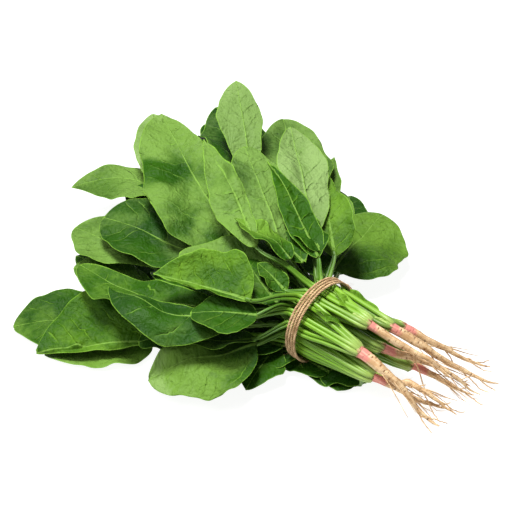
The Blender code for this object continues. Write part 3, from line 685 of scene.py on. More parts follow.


# Leaves that others cover are darker: painted shade, so that the gaps under and between leaves look dark.
COVERED_LEAF_SHADE = LeafToneAndShade(-0.1, 0.4)
# Each leaf's tone and freshness: the tone is partly the leaf's own colour and partly painted shade and light.
LEAF_TONES_AND_SHADES = {  # by a leaf's row and slot
    (0, 1): LeafToneAndShade(1.2, 0.6),
    (1, 0): LeafToneAndShade(0.0, 0.6),
    (1, 1): LeafToneAndShade(0.22, 0.6),
    (2, 0): LeafToneAndShade(0.38, 0.9, 0.7),
    (2, 1): LeafToneAndShade(-0.05, 0.5),
    (2, 2): LeafToneAndShade(0.5, 0.4, 0.2),
    (2, 6): LeafToneAndShade(0.6, 0.2, 0.1),
    (3, 0): LeafToneAndShade(0.82, 0.6, 0.35, 0.0, 0.75),
    (3, 1): LeafToneAndShade(0.6, 0.4, 0.2),
    (3, 2): LeafToneAndShade(0.75, 0.4, 0.4),
    (3, 3): LeafToneAndShade(-0.1, 0.3),
    (3, 4): LeafToneAndShade(1.35, 0.1, 0.2),
    (3, 5): LeafToneAndShade(0.3, 0.4),
    (3, 6): LeafToneAndShade(0.68, 0.7, 0.35, 0.0, 0.35),
    (4, 0): LeafToneAndShade(0.2, 0.5),
    (4, 1): LeafToneAndShade(0.2, 0.7, 0.4),
    (4, 2): LeafToneAndShade(0.2, 0.3, 0.5),
    (4, 3): LeafToneAndShade(0.72, 0.45, 0.7, 0.2, 0.4, 0.95),
    (4, 4): LeafToneAndShade(0.95, 0.1, 0.15),
    (4, 5): LeafToneAndShade(0.2, 0.2, 0.3),
    (4, 6): LeafToneAndShade(0.5, 0.3, 0.3),
    (5, 0): LeafToneAndShade(0.1, 0.4, 0.3),
    (5, 1): LeafToneAndShade(-0.15, 0.6, 0.3),
    (5, 2): LeafToneAndShade(0.6, 0.4, 0.4),
    (5, 3): LeafToneAndShade(0.5, 0.3, 0.3),
    (5, 4): LeafToneAndShade(1.35, 0.0, 0.2),
    (5, 5): LeafToneAndShade(0.55, 0.8, 0.8),
    (6, 0): LeafToneAndShade(0.44, 0.9, 0.25),
    (6, 1): LeafToneAndShade(0.1, 0.6, 0.3),
    (6, 2): LeafToneAndShade(0.8, 0.4, 0.2),
    (6, 3): LeafToneAndShade(-0.25, 1.0, 0.8, 0.0, 0.35),
    (7, 0): LeafToneAndShade(0.35, 0.8, 0.4, 0.0, 0.4),
    (7, 1): LeafToneAndShade(0.1, 0.7, 0.4),
    (7, 2): LeafToneAndShade(-0.1, 0.8, 0.4),
    (8, 5): LeafToneAndShade(0.3, 0.5, 0.4),
    (9, 0): LeafToneAndShade(0.8, 1.0),
    (9, 1): LeafToneAndShade(0.6, 1.0),
    (9, 2): LeafToneAndShade(0.9, 1.0),
    (9, 3): LeafToneAndShade(0.6, 1.0),
}

# Small leaves that aren't laid on the heap: deep in the fan between the feet of the large ones, under
# the outer ones, and along the upper edge of the stalks. Each goes to the plant that its slot gives,
# counted round. Most of those in row 8 fill gaps between the others, dark with the covered leaves'
# painted shade.
INNER_LEAVES = (
    Leaf(
        7, 0, 27, 0, 72, 4, 52, 24, pitch=18, arch=14, swerve=-12, roll=-12, fold=16, wave=3, blunt=0.5,
        turned=True, plain=True,
    ),
    Leaf(7, 1, 24, 10, 66, 12, 40, 22, pitch=8, arch=14, swerve=-10, fold=14, wave=3, blunt=0.4, plain=True),
    Leaf(7, 2, 20, 24, 69, 20, 40, 24, pitch=14, arch=14, fold=10, wave=3, blunt=0.5, plain=True),
    Leaf(8, 10, 151, 69, 38, 29, 51, 26, pitch=9, arch=4, plain=True),
    Leaf(8, 12, -22, -13, 5, -8, 46, 30, pitch=1, arch=2, plain=True),
    Leaf(8, 13, 2, -17, 12, -35, 42, 34, pitch=-5, arch=2, plain=True),
    Leaf(8, 11, 145, 15, 34, -6, 53, 34, pitch=2, arch=4, plain=True),
    Leaf(8, 0, 33, 46, 36, 32, 67, 44, pitch=1, arch=6, plain=True),
    Leaf(8, 1, 31, 28, 44, 30, 60, 40, pitch=3, arch=6, plain=True),
    Leaf(8, 2, 33, 7, 40, 26, 52, 36, pitch=3, arch=6, plain=True),
    Leaf(8, 3, 19, -14, 30, -6, 50, 40, pitch=0, arch=6, plain=True),
    Leaf(8, 4, 10, -27, 20, -17, 50, 34, pitch=-4, arch=6, plain=True),
    Leaf(8, 6, -47, -3, 5, -16, 54, 30, pitch=1, arch=2, plain=True),
    Leaf(8, 7, 15, 22, 50, 24, 61, 30, pitch=5, arch=6, plain=True),
    Leaf(8, 8, 55, -22, 30, -11, 75, 40, pitch=-2, arch=6, plain=True),
    Leaf(8, 9, 47, -39, 20, -26, 61, 36, pitch=-1, arch=6, plain=True),
    Leaf(8, 5, 16, -25, 55, 14, 50, 32, pitch=10, arch=12, swerve=8, fold=6, wave=2, blunt=0.6, plain=True),
    Leaf(9, 0, -31, 2, 50, 10, 26, 8, pitch=30, arch=4, fold=24, blunt=0.1, plain=True),
    Leaf(9, 1, -34, -10, 47, -11, 30, 7, pitch=26, arch=4, fold=24, blunt=0.1, plain=True),
    Leaf(9, 2, -44, 28, 34, -1, 48, 11, pitch=12, arch=6, roll=-30, fold=20, blunt=0.1, plain=True),
    Leaf(9, 3, -30, 29, 38, -3, 34, 10, pitch=12, arch=6, roll=-30, fold=20, blunt=0.1, plain=True),
)


def spline_at(values, where):
    """The Catmull-Rom curve through evenly spaced values, at positions given in steps from the first of
    them."""
    last = len(values) - 1
    i = np.clip(np.floor(where).astype(int), 0, last - 1)
    f = (where - i).reshape(-1, *[1] * (values.ndim - 1))
    p0, p1, p2, p3 = (values[np.clip(i + k, 0, last)] for k in (-1, 0, 1, 2))
    square, cube = 2 * p0 - 5 * p1 + 4 * p2 - p3, 3 * p1 - p0 - 3 * p2 + p3
    return 0.5 * (2 * p1 + (p2 - p0) * f + square * f**2 + cube * f**3)


def spline_sheet(values, rows, columns):
    """Catmull-Rom along the rows and then across them, at evenly spread rows and at the columns,
    which go from -1 to 1."""
    last_row, last_column = values.shape[0] - 1, values.shape[1] - 1
    tall = spline_at(values, np.linspace(0, last_row, rows))
    wide = spline_at(np.swapaxes(tall, 0, 1), (columns + 1) / 2 * last_column)
    return np.swapaxes(wide, 0, 1)


def ripples(rng, x, y, length, count=7):
    """A smooth random field about 0: the sum of plane waves of about this length in random directions,
    over the square root of their number."""
    total = 0
    for _ in range(count):
        turn, phase = rng.random() * 2 * math.pi, rng.random() * 2 * math.pi
        stretch = 0.75 + 0.6 * rng.random()
        wave = 2 * math.pi / (length * stretch)
        total = total + np.sin(wave * (x * math.cos(turn) + y * math.sin(turn)) + phase)
    return total / math.sqrt(count)


def vein_phase(leaf, x, y):
    """Counts the side veins from the foot: it is whole on a vein. They leave the midrib at half a right
    angle, bend towards the tip, and those of the two sides alternate."""
    spacing = max(leaf.length / 6.5, 9) * MM
    run = 0.75 * np.abs(y) + 9 * y**2
    return (x - run) / spacing + 0.5 * (y > 0) + 0.2


def blade_widths(leaf, share, u, rng):
    """Half-width on each side: the plain outline with shallow lobes, different on the two sides."""
    width = leaf.width * MM / 2 * outline_fine(leaf, share) * (1 + leaf.skew * np.sign(u))
    lobes = [rng.random(3) for _ in (0, 1)]
    uneven = []
    for first, second, third in lobes:
        wave = 0.05 * np.sin(2 * math.pi * (1.3 * share + first))
        wave = wave + 0.034 * np.sin(2 * math.pi * (3.1 * share + second))
        uneven.append(1 + wave + 0.013 * np.sin(2 * math.pi * (7 * share + third)))
    return width * np.where(u < 0, uneven[0], uneven[1])


def fine_blade(leaf, coarse, foot, phase, rng):
    """The blade's fine middle surface, before it is laid again, with its places on the flat blade,
    x along it and y across it.

    It is the coarse formula at fine steps, lifted as the coarse blade was, with four reliefs along its
    normal: broad swells, ruffles at the margin, quilting between the side veins, and fine crumpling."""
    rows, columns = (COVERED_ROWS, COVERED_COLUMNS) if leaf.plain else (FINE_ROWS, FINE_COLUMNS)
    # The leaf's tone: partly its own colour, and partly painted shade and light.
    finish = LEAF_TONES_AND_SHADES.get((leaf.row, leaf.slot), COVERED_LEAF_SHADE)
    share = np.linspace(0, 1, rows)[:, None]
    t = np.linspace(-1, 1, columns)
    u = np.sign(t) * np.abs(t) ** 1.2
    beside = u[None, :]
    flat_coarse = blade_grid(leaf, blade_line(leaf, foot), coarse_columns(leaf), phase, outline)
    lift = spline_sheet((coarse - flat_coarse)[..., 2], rows, u)
    grid = blade_grid(leaf, blade_line(leaf, foot, rows), u, phase, outline_fine)
    width = blade_widths(leaf, share, beside, rng)
    plain_width = leaf.width * MM / 2 * outline_fine(leaf, share) * (1 + leaf.skew * np.sign(beside))
    middle = midrib_line(grid)[:, None]
    grid = middle + (grid - middle) * (width / plain_width)[..., None]
    grid[..., 2] += lift
    x = share * leaf.length * MM + 0 * beside
    y = width * beside
    tapered = np.sin(math.pi * np.clip(share, 0.02, 0.98)) ** 0.6
    veins = vein_phase(leaf, x, y) + VEIN_WANDER * ripples(rng, x, y, VEIN_LENGTH * MM)
    margin = np.abs(beside) ** 3
    relief = SWELL_HEIGHT * MM * ripples(rng, x, y, SWELL_LENGTH * MM)
    ruffle = (RUFFLE_LEAST + RUFFLE_FOR_WAVE * leaf.wave) * MM
    relief += ruffle * margin * ripples(rng, x, 0.4 * y, RUFFLE_LENGTH * MM)
    quilt = 0.5 - 0.5 * np.cos(2 * math.pi * veins)
    across = np.clip(np.abs(y) / (4 * MM), 0, 1) * np.clip(2.5 - 2.5 * np.abs(beside), 0, 1)
    patchy = 0.5 + 0.5 * ripples(rng, x, y, QUILT_PATCH * MM)
    relief += finish.pucker * QUILT_HEIGHT * MM * patchy * (quilt**0.7 - 0.5) * across
    relief += finish.pucker * CRUMPLE_HEIGHT * MM * ripples(rng, x, y, CRUMPLE_LENGTH * MM) * across
    side = -1 if leaf.turned else 1
    grid += (relief * tapered * side)[..., None] * grid_normals(grid)
    edge = np.minimum((1 - np.abs(beside)) * width, (1 - share) * leaf.length * MM * 0.6)
    # Painted light and shade: the tone rises towards the +Y margin and towards the tip, and falls in a band
    # of painted shade across the middle, as beside a crease.
    tone = finish.tone + finish.aside * beside + finish.tipward * (2 * share - 1)
    off_shade_band = (share - SHADE_BAND_AT + 0.06 * beside + 0.02 * np.sin(9 * beside)) / SHADE_BAND_WIDTH
    tone = tone - finish.band * np.exp(-(off_shade_band**2)) * np.clip(0.65 - 0.5 * beside, 0, 1)
    return grid, {"x": x, "y": y, "edge": edge, "veins": veins, "tone": tone, "fresh": finish.fresh}


def rib_radius(share):
    """The midrib's radius: as the stalk's end at the foot, thinning quickly and then slowly."""
    return (0.3 + 1.25 * (1 - share) ** 2.2) * MM


def lay_fine(heap, grid, passes=9):
    """Raises a fine grid where it would cross what lies below it, spreading each rise smoothly."""
    raised = np.zeros(grid.shape[:2])
    flat = grid.reshape(-1, 3)
    for _ in range(passes):
        points = flat.copy()
        points[:, 2] += raised.ravel()
        need = np.maximum(heap.around(points) + FINE_GAP + SKIN_HALF - points[:, 2], 0)
        need = need.reshape(raised.shape)
        need *= past_twine(points[:, 0]).reshape(raised.shape)
        raised += eased(need * 0.7, 6)
    for _ in range(3):
        raised = relaxed(raised)
    laid = grid.copy()
    laid[..., 2] += raised
    laid[..., 2] = np.maximum(laid[..., 2], SKIN_HALF + CLEARANCE)
    return laid


def relaxed(values):
    """Each value moved half of the way to the mean of those beside it."""
    return 0.5 * values + 0.5 * mean_round(values)


def grid_faces(rows, columns, wrap=False):
    """Quads over a grid of points numbered row by row. wrap joins the last column to the first."""
    r = np.arange(rows - 1)[:, None]
    c = np.arange(columns if wrap else columns - 1)[None, :]
    a, b = r * columns + c, r * columns + (c + 1) % columns
    return np.stack([a, b, b + columns, a + columns], axis=-1).reshape(-1, 4)


def blade_part(leaf, grid, marks):
    """A blade of two skins. The upper is the middle surface moved up by half the thickness, with a
    groove along the midrib; the lower is moved down, with a rounded ridge there. Both follow a bell
    curve of the distance from the midrib. A turned blade has the ridge above."""
    rows, columns = grid.shape[:2]
    share = np.linspace(0, 1, rows)[:, None]
    rib = rib_radius(share)
    hump = np.exp(-((marks["y"] / rib) ** 2) * 0.8)
    half = SKIN_HALF * np.clip(marks["edge"] / (1.2 * MM), 0.35, 1)
    ridge, groove = half + RIDGE * rib * hump, half - GROOVE * rib * hump
    above, below = (ridge, groove) if leaf.turned else (groove, ridge)
    normal = grid_normals(grid)
    upper, lower = grid + normal * above[..., None], grid - normal * below[..., None]
    lower[..., 2] = np.maximum(lower[..., 2], LOW_SKIN)
    upper[..., 2] = np.maximum(upper[..., 2], lower[..., 2] + CLEARANCE)
    count = rows * columns
    faces = grid_faces(rows, columns)
    ring = np.concatenate([
        np.arange(columns),
        np.arange(1, rows) * columns + columns - 1,
        (rows - 1) * columns + np.arange(columns - 2, -1, -1),
        np.arange(rows - 2, 0, -1) * columns,
    ])
    following = np.roll(ring, -1)
    rim = np.stack([following, ring, count + ring, count + following], axis=1)

    def both(value):
        """The value for each point of both skins."""
        return np.concatenate([np.broadcast_to(value, (rows, columns)).ravel()] * 2)

    under = np.repeat([1.0, 0.0] if leaf.turned else [0.0, 1.0], count)
    pattern = np.full(2 * count, leaf.row + PATTERN_STEP * leaf.slot)
    flat = np.stack([both(marks["x"]), both(marks["y"]), pattern], axis=1)
    return {
        "points": np.concatenate([upper.reshape(-1, 3), lower.reshape(-1, 3)]),
        "faces": np.concatenate([faces, (faces + count)[:, ::-1], rim]),
        "flat": flat,
        "edge": both(marks["edge"]) / MM,
        "veins": both(marks["veins"]),
        "rib": both(np.abs(marks["y"]) / rib),
        "tone": both(marks["tone"]),
        "fresh": both(marks["fresh"]),
        "under": under,
    }


def path_frame(line, reference):
    """Unit vectors along a path, across it (square to the reference direction) and square to both."""
    along = np.gradient(line, axis=0)
    along /= np.linalg.norm(along, axis=1, keepdims=True)
    across = np.cross(reference, along)
    across /= np.maximum(np.linalg.norm(across, axis=1, keepdims=True), 1e-9)
    return along, across, np.cross(along, across)


def tube_part(line, radius, sides, reference=(0, 0, 1.0), section=None):
    """A tube whose ends close to a point: the section, a share of the radius at each angle and station,
    carried along the path. flat holds each point's place on the straightened tube."""
    _, across, up = path_frame(line, reference)
    angle = 2 * math.pi * np.arange(sides)[None, :] / sides
    share = np.linspace(0, 1, len(line))[:, None]
    r = radius[:, None] * (1 if section is None else section(angle, share))
    r = np.broadcast_to(r, (len(line), sides)).copy()
    r[0], r[-1] = 0, 0
    points = line[:, None] + r[..., None] * (
        np.cos(angle)[..., None] * across[:, None] + np.sin(angle)[..., None] * up[:, None]
    )
    gone = np.concatenate([[0], np.cumsum(np.linalg.norm(np.diff(line, axis=0), axis=1))])
    flat = np.stack([
        np.broadcast_to(radius[:, None] * np.cos(angle), r.shape),
        np.broadcast_to(radius[:, None] * np.sin(angle), r.shape),
        np.broadcast_to(gone[:, None], r.shape),
    ], axis=-1)
    return {
        "points": points.reshape(-1, 3),
        "faces": grid_faces(len(line), sides, wrap=True),
        "flat": flat.reshape(-1, 3),
        "along": np.broadcast_to(share, r.shape).ravel(),
    }


def spread(part, **values):
    """The part with these values given to all of its points."""
    for name, value in values.items():
        part[name] = np.full(len(part["points"]), float(value))
    return part


def make_piece(name, parts, material, nodes, weld=True):
    """One object from the parts, at the origin, with every value that they hold as a point attribute."""
    starts = np.cumsum([0] + [len(part["points"]) for part in parts])
    points = np.concatenate([part["points"] for part in parts]) + BUNCH_SHIFT
    points[:, 2] = np.maximum(points[:, 2], LOWEST)
    faces = np.concatenate([part["faces"] + start for part, start in zip(parts, starts)])
    mesh = bpy.data.meshes.new(name)
    mesh.vertices.add(len(points))
    mesh.vertices.foreach_set("co", points.astype(np.float32).ravel())
    mesh.loops.add(faces.size)
    mesh.loops.foreach_set("vertex_index", faces.astype(np.int32).ravel())
    mesh.polygons.add(len(faces))
    mesh.polygons.foreach_set("loop_start", np.arange(0, faces.size, 4, dtype=np.int32))
    mesh.polygons.foreach_set("use_smooth", np.ones(len(faces), bool))
    mesh.update(calc_edges=True)
    for key in parts[0]:
        if key in ("points", "faces"):
            continue
        values = np.concatenate([part[key] for part in parts])
        kind, field = ("FLOAT_VECTOR", "vector") if values.ndim == 2 else ("FLOAT", "value")
        attribute = mesh.attributes.new(key, kind, "POINT")
        attribute.data.foreach_set(field, values.astype(np.float32).ravel())
    if weld:
        shape = bmesh.new()
        shape.from_mesh(mesh)
        bmesh.ops.remove_doubles(shape, verts=shape.verts, dist=1e-6)
        shape.to_mesh(mesh)
        shape.free()
    mesh.materials.append(material)
    obj = bpy.data.objects.new(name, mesh)
    bpy.context.scene.collection.objects.link(obj)
    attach(obj, "root")
    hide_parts(*nodes)


# --------------------------------------------------------------------------------------------------
# Finishes
# --------------------------------------------------------------------------------------------------


class Mixer:
    """A material's nodes. Each call adds one node and gives its output."""

    def __init__(self, name):
        self.material = bpy.data.materials.new(name)
        self.material.use_nodes = True
        self.tree = self.material.node_tree
        self.shader = self.tree.nodes["Principled BSDF"]

    def add(self, kind, output, inputs=(), **settings):
        """A node of this kind. An input is linked where its value is another node's output, and left
        alone where it is None."""
        node = self.tree.nodes.new(kind)
        for key, value in settings.items():
            setattr(node, key, value)
        for socket, value in inputs:
            if isinstance(value, bpy.types.NodeSocket):
                self.tree.links.new(value, node.inputs[socket])
            elif value is not None:
                node.inputs[socket].default_value = value
        return node.outputs[output]

    def mark(self, name):
        """A number kept at the piece's points."""
        return self.add("ShaderNodeAttribute", "Fac", attribute_name=name)

    def place(self, name):
        """A place kept at the piece's points, such as one on the flat blade."""
        return self.add("ShaderNodeAttribute", "Vector", attribute_name=name)

    def calc(self, operation, a, b=None):
        """One step of arithmetic on one or two numbers."""
        return self.add("ShaderNodeMath", 0, [(0, a), (1, b)], operation=operation)

    def times(self, a, b):
        """a times b."""
        return self.calc("MULTIPLY", a, b)

    def plus(self, a, b):
        """a plus b."""
        return self.calc("ADD", a, b)

    def step(self, value, low, high, start=0.0, end=1.0):
        """start below low, end above high, and smooth between."""
        return self.add(
            "ShaderNodeMapRange",
            0,
            [(0, value), (1, low), (2, high), (3, start), (4, end)],
            interpolation_type="SMOOTHSTEP",
        )

    def mix(self, share, a, b):
        """Colour a where share is 0 and b where it is 1."""
        a, b = (value if isinstance(value, bpy.types.NodeSocket) else (*value, 1) for value in (a, b))
        return self.add("ShaderNodeMix", 2, [(0, share), (6, a), (7, b)], data_type="RGBA")

    def stretched(self, place, scale):
        """The place times a scale for each direction."""
        return self.add("ShaderNodeVectorMath", 0, [(0, place), (1, scale)], operation="MULTIPLY")

    def noise(self, place, scale, detail=2.0, distortion=0.0):
        """Smooth noise from 0 to 1 at the place. detail adds finer layers of it."""
        inputs = [("Vector", place), ("Scale", scale), ("Detail", detail), ("Distortion", distortion)]
        return self.add("ShaderNodeTexNoise", "Fac", inputs)

    def warped(self, place, scale, amount):
        """The place moved by smooth noise of this scale."""
        inputs = [("Vector", place), ("Scale", scale), ("Detail", 1.0)]
        colour = self.add("ShaderNodeTexNoise", "Color", inputs)
        kind = "ShaderNodeVectorMath"
        centred = self.add(kind, 0, [(0, colour), (1, (0.5, 0.5, 0.5))], operation="SUBTRACT")
        moved = self.add(kind, 0, [(0, centred), ("Scale", amount)], operation="SCALE")
        return self.add(kind, 0, [(0, place), (1, moved)], operation="ADD")

    def cells(self, place, scale, feature="DISTANCE_TO_EDGE", output="Distance"):
        """Irregular cells: the distance from the nearest edge, or from the cell's middle, or its own
        colour."""
        inputs = [("Vector", place), ("Scale", scale)]
        return self.add("ShaderNodeTexVoronoi", output, inputs, feature=feature)

    def bump(self, height, depth, strength=1.0, normal=None):
        """A normal tilted by the slope of the height, over an earlier one if it is given."""
        inputs = [("Height", height), ("Distance", depth), ("Strength", strength), ("Normal", normal)]
        return self.add("ShaderNodeBump", 0, inputs)

    def finish(self, colour, roughness, normal=None, gloss=0.5):
        """Gives the shader its colour, roughness, normal and gloss, and returns the material."""
        for name, value in {"Base Color": colour, "Roughness": roughness, "Normal": normal}.items():
            if isinstance(value, bpy.types.NodeSocket):
                self.tree.links.new(value, self.shader.inputs[name])
            elif value is not None:
                self.shader.inputs[name].default_value = value
        self.shader.inputs["Specular IOR Level"].default_value = gloss
        return self.material


def leaf_skin():
    """Dark and blue-green or yellow-green above, slightly paler below; the tone also carries painted shade
    and light, each leaf's own and in broad random patches, and the dark colour has yellow-green patches of
    painted light shining through. A pale midrib, a few faint side veins that fade in and out, a bright
    thin rim and a few dark specks. Wrinkles and the net are mostly in the bump."""
    m = Mixer("leaf_skin")
    flat, edge, under, fresh = m.place("flat"), m.mark("edge"), m.mark("under"), m.mark("fresh")
    # Yellow-green patches in the dark colour: painted light shining through the leaf.
    fresh_and_shine_through = m.plus(fresh, m.step(m.noise(flat, 24, 2), 0.35, 0.65, -0.2, 0.6))
    broad = m.noise(flat, 30, 3, 0.6)
    grainy = m.noise(flat, 420, 4)
    # Each leaf's tone is partly its own colour and partly painted shade and light; the underside is a little
    # paler.
    tone = m.plus(m.mark("tone"), m.times(under, 0.1))
    # Broad random patches a little darker and paler: painted shade and light standing in for broad bends.
    tone = m.plus(tone, m.step(broad, 0.3, 0.7, -0.3, 0.3))
    tone = m.plus(tone, m.step(grainy, 0.3, 0.7, -0.07, 0.07))
    dark = m.mix(fresh_and_shine_through, (0.009, 0.043, 0.003), (0.019, 0.076, 0.0006))
    pale = m.mix(fresh, (0.14, 0.235, 0.06), (0.11, 0.24, 0.01))
    colour = m.mix(m.step(tone, 0.0, 1.0), dark, pale)
    colour = m.mix(m.step(tone, 1.15, 1.6, 0.0, 0.5), colour, (0.24, 0.36, 0.12))
    # 0.5 on a side vein, and 0 midway between two
    bent = m.plus(m.mark("veins"), m.step(m.noise(flat, 48, 3), 0.25, 0.75, -0.3, 0.3))
    away = m.calc("ABSOLUTE", m.calc("SUBTRACT", m.calc("FRACT", bent), 0.5))
    seen = m.step(m.noise(flat, 55, 1), 0.42, 0.62)
    side_vein = m.times(m.times(m.step(away, 0.44, 0.485), m.step(edge, 1.0, 7.0)), seen)
    net_place = m.warped(flat, 90, 0.012)
    net_line = m.step(m.cells(net_place, 105), 0.0, 0.07, 1.0, 0.0)
    net = m.times(net_line, m.step(m.noise(flat, 70, 1), 0.4, 0.6))
    midrib = m.step(m.mark("rib"), 0.6, 1.05, 1.0, 0.0)
    vein_green = m.mix(fresh, (0.14, 0.27, 0.048), (0.14, 0.3, 0.017))
    colour = m.mix(m.times(net, 0.05), colour, vein_green)
    colour = m.mix(m.times(side_vein, 0.6), colour, vein_green)
    colour = m.mix(m.times(midrib, 0.75), colour, (0.19, 0.35, 0.055))
    colour = m.mix(m.step(edge, 0.22, 0.8, 0.75, 0.0), colour, (0.18, 0.36, 0.035))
    speck_size = m.cells(flat, 85, "F1", "Distance")
    speck_few = m.add("ShaderNodeSeparateColor", 0, [(0, m.cells(flat, 85, "F1", "Color"))])
    specks = m.times(m.step(speck_size, 0.03, 0.055, 1.0, 0.0), m.step(speck_few, 0.16, 0.2, 1.0, 0.0))
    colour = m.mix(m.times(specks, 0.8), colour, (0.012, 0.03, 0.003))
    wrinkles = m.noise(m.warped(flat, 150, 0.004), 520, 3)
    groove = m.times(m.step(away, 0.34, 0.5), m.step(edge, 1.0, 7.0))
    groove = m.times(groove, m.step(broad, 0.3, 0.6, 0.1, 0.55))
    height = m.plus(groove, m.plus(m.times(side_vein, 0.5), m.times(net, 0.12)))
    height = m.plus(m.times(height, m.step(under, 0.4, 0.6, -0.6, 0.6)), m.times(wrinkles, 0.65))
    puckers = m.noise(m.warped(flat, 60, 0.01), 125, 2, 0.4)
    relief = m.bump(height, 0.0016, 0.85, m.bump(puckers, 0.006, 0.55))
    return m.finish(colour, m.step(broad, 0.3, 0.7, 0.5, 0.65), relief, gloss=0.13)


def stalk_skin():
    """Pale at the crown, bright yellow-green to the twine and deeper green beyond, with fine streaks
    along it."""
    m = Mixer("stalk_skin")
    flat, along, shade = m.place("flat"), m.mark("along"), m.mark("shade")
    streak = m.noise(m.stretched(flat, (900, 900, 22)), 1, 3)
    patch = m.noise(m.stretched(flat, (120, 120, 40)), 1, 2)
    colour = m.mix(m.step(along, 0.03, 0.2), (0.38, 0.49, 0.14), (0.15, 0.34, 0.012))
    colour = m.mix(m.step(m.plus(along, m.times(streak, 0.03)), 0.02, 0.05), (0.3, 0.12, 0.07), colour)
    colour = m.mix(m.step(along, 0.3, 0.7), colour, (0.06, 0.17, 0.008))
    colour = m.mix(shade, colour, (0.022, 0.075, 0.004))
    colour = m.mix(m.step(streak, 0.35, 0.65, 0.0, 0.35), colour, (0.27, 0.43, 0.06))
    colour = m.mix(m.step(patch, 0.45, 0.75, 0.0, 0.35), colour, (0.04, 0.14, 0.004))
    return m.finish(colour, m.step(patch, 0.3, 0.7, 0.36, 0.5), m.bump(streak, 0.0005, 0.6), gloss=0.35)


def root_skin():
    """Pink at the neck, then cream and tan with thin brown rings and pores."""
    m = Mixer("root_skin")
    flat, gone = m.place("flat"), m.mark("gone")
    patch = m.noise(m.stretched(flat, (250, 250, 90)), 1, 4)
    rings = m.noise(m.stretched(flat, (120, 120, 1300)), 1, 3)
    colour = m.mix(m.step(patch, 0.35, 0.65), (0.5, 0.3, 0.14), (0.8, 0.59, 0.34))
    colour = m.mix(m.step(rings, 0.54, 0.68, 0.0, 0.7), colour, (0.34, 0.17, 0.06))
    pores = m.cells(m.stretched(flat, (170, 170, 420)), 1, "F1", "Distance")
    colour = m.mix(m.step(pores, 0.17, 0.3, 0.9, 0.0), colour, (0.2, 0.08, 0.025))
    border = m.plus(gone, m.times(patch, 7))
    colour = m.mix(m.times(m.step(border, 15.5, 18.5, 1.0, 0.0), m.mark("neck")), colour, (0.62, 0.22, 0.18))
    streak = m.noise(m.stretched(flat, (700, 700, 60)), 1, 3)
    colour = m.mix(m.step(streak, 0.5, 0.7, 0.0, 0.35), colour, (0.85, 0.66, 0.45))
    height = m.plus(m.times(rings, 0.8), m.plus(patch, m.step(pores, 0.1, 0.35, 0.0, 0.6)))
    return m.finish(colour, 0.6, m.bump(height, 0.0005, 0.8), gloss=0.3)


def crown_skin():
    """Pale green bases of stalks, with dry reddish tan scales round the neck."""
    m = Mixer("crown_skin")
    flat, along = m.place("flat"), m.mark("along")
    streak = m.noise(m.stretched(flat, (900, 900, 110)), 1, 4)
    colour = m.mix(m.step(streak, 0.35, 0.65), (0.2, 0.34, 0.05), (0.42, 0.52, 0.16))
    border = m.plus(along, m.times(streak, 0.35))
    colour = m.mix(m.step(border, 0.7, 0.95), colour, (0.45, 0.3, 0.15))
    colour = m.mix(m.times(m.step(streak, 0.42, 0.6), m.step(border, 0.75, 1.0)), colour, (0.2, 0.07, 0.035))
    return m.finish(colour, 0.6, m.bump(streak, 0.001, 0.8), gloss=0.3)


def twine_fibre():
    """Tan jute with pale and dark fibres along each ply."""
    m = Mixer("twine_fibre")
    flat = m.place("flat")
    fibre = m.noise(m.stretched(flat, (2600, 2600, 160)), 1, 3)
    patch = m.noise(m.stretched(flat, (60, 60, 45)), 1, 2)
    colour = m.mix(m.step(fibre, 0.3, 0.7), (0.2, 0.1, 0.04), (0.8, 0.57, 0.32))
    colour = m.mix(m.step(patch, 0.4, 0.7, 0.0, 0.35), colour, (0.38, 0.24, 0.12))
    return m.finish(colour, 0.85, m.bump(fibre, 0.0005, 0.9), gloss=0.2)


def floor_card():
    """A pale matt card that glows a little, so that shadows on it stay light."""
    m = Mixer("floor_card")
    m.shader.inputs["Emission Color"].default_value = (1, 1, 1, 1)
    m.shader.inputs["Emission Strength"].default_value = FLOOR_GLOW
    return m.finish((0.25, 0.25, 0.25, 1), 0.9, gloss=0)


# --------------------------------------------------------------------------------------------------
# Pieces
# --------------------------------------------------------------------------------------------------


def ribbed(count, depth, groove_at, groove=0.0):
    """A stalk's section: count fine ribs, and one broad groove at an angle."""

    def section(angle, share):
        """1, with a cosine's ripple for the ribs, less a bell curve round the groove. It is the same
        all along."""
        turned = np.angle(np.exp(1j * (angle - groove_at)))
        ribs = depth * np.abs(np.cos(count / 2 * (angle - groove_at)))
        return 1 - depth / 2 + ribs - groove * np.exp(-((turned / 0.45) ** 2))

    return section


def fine_path(line, rows):
    """The curve through the stations, at evenly spread places."""
    return spline_at(line, np.linspace(0, len(line) - 1, rows))


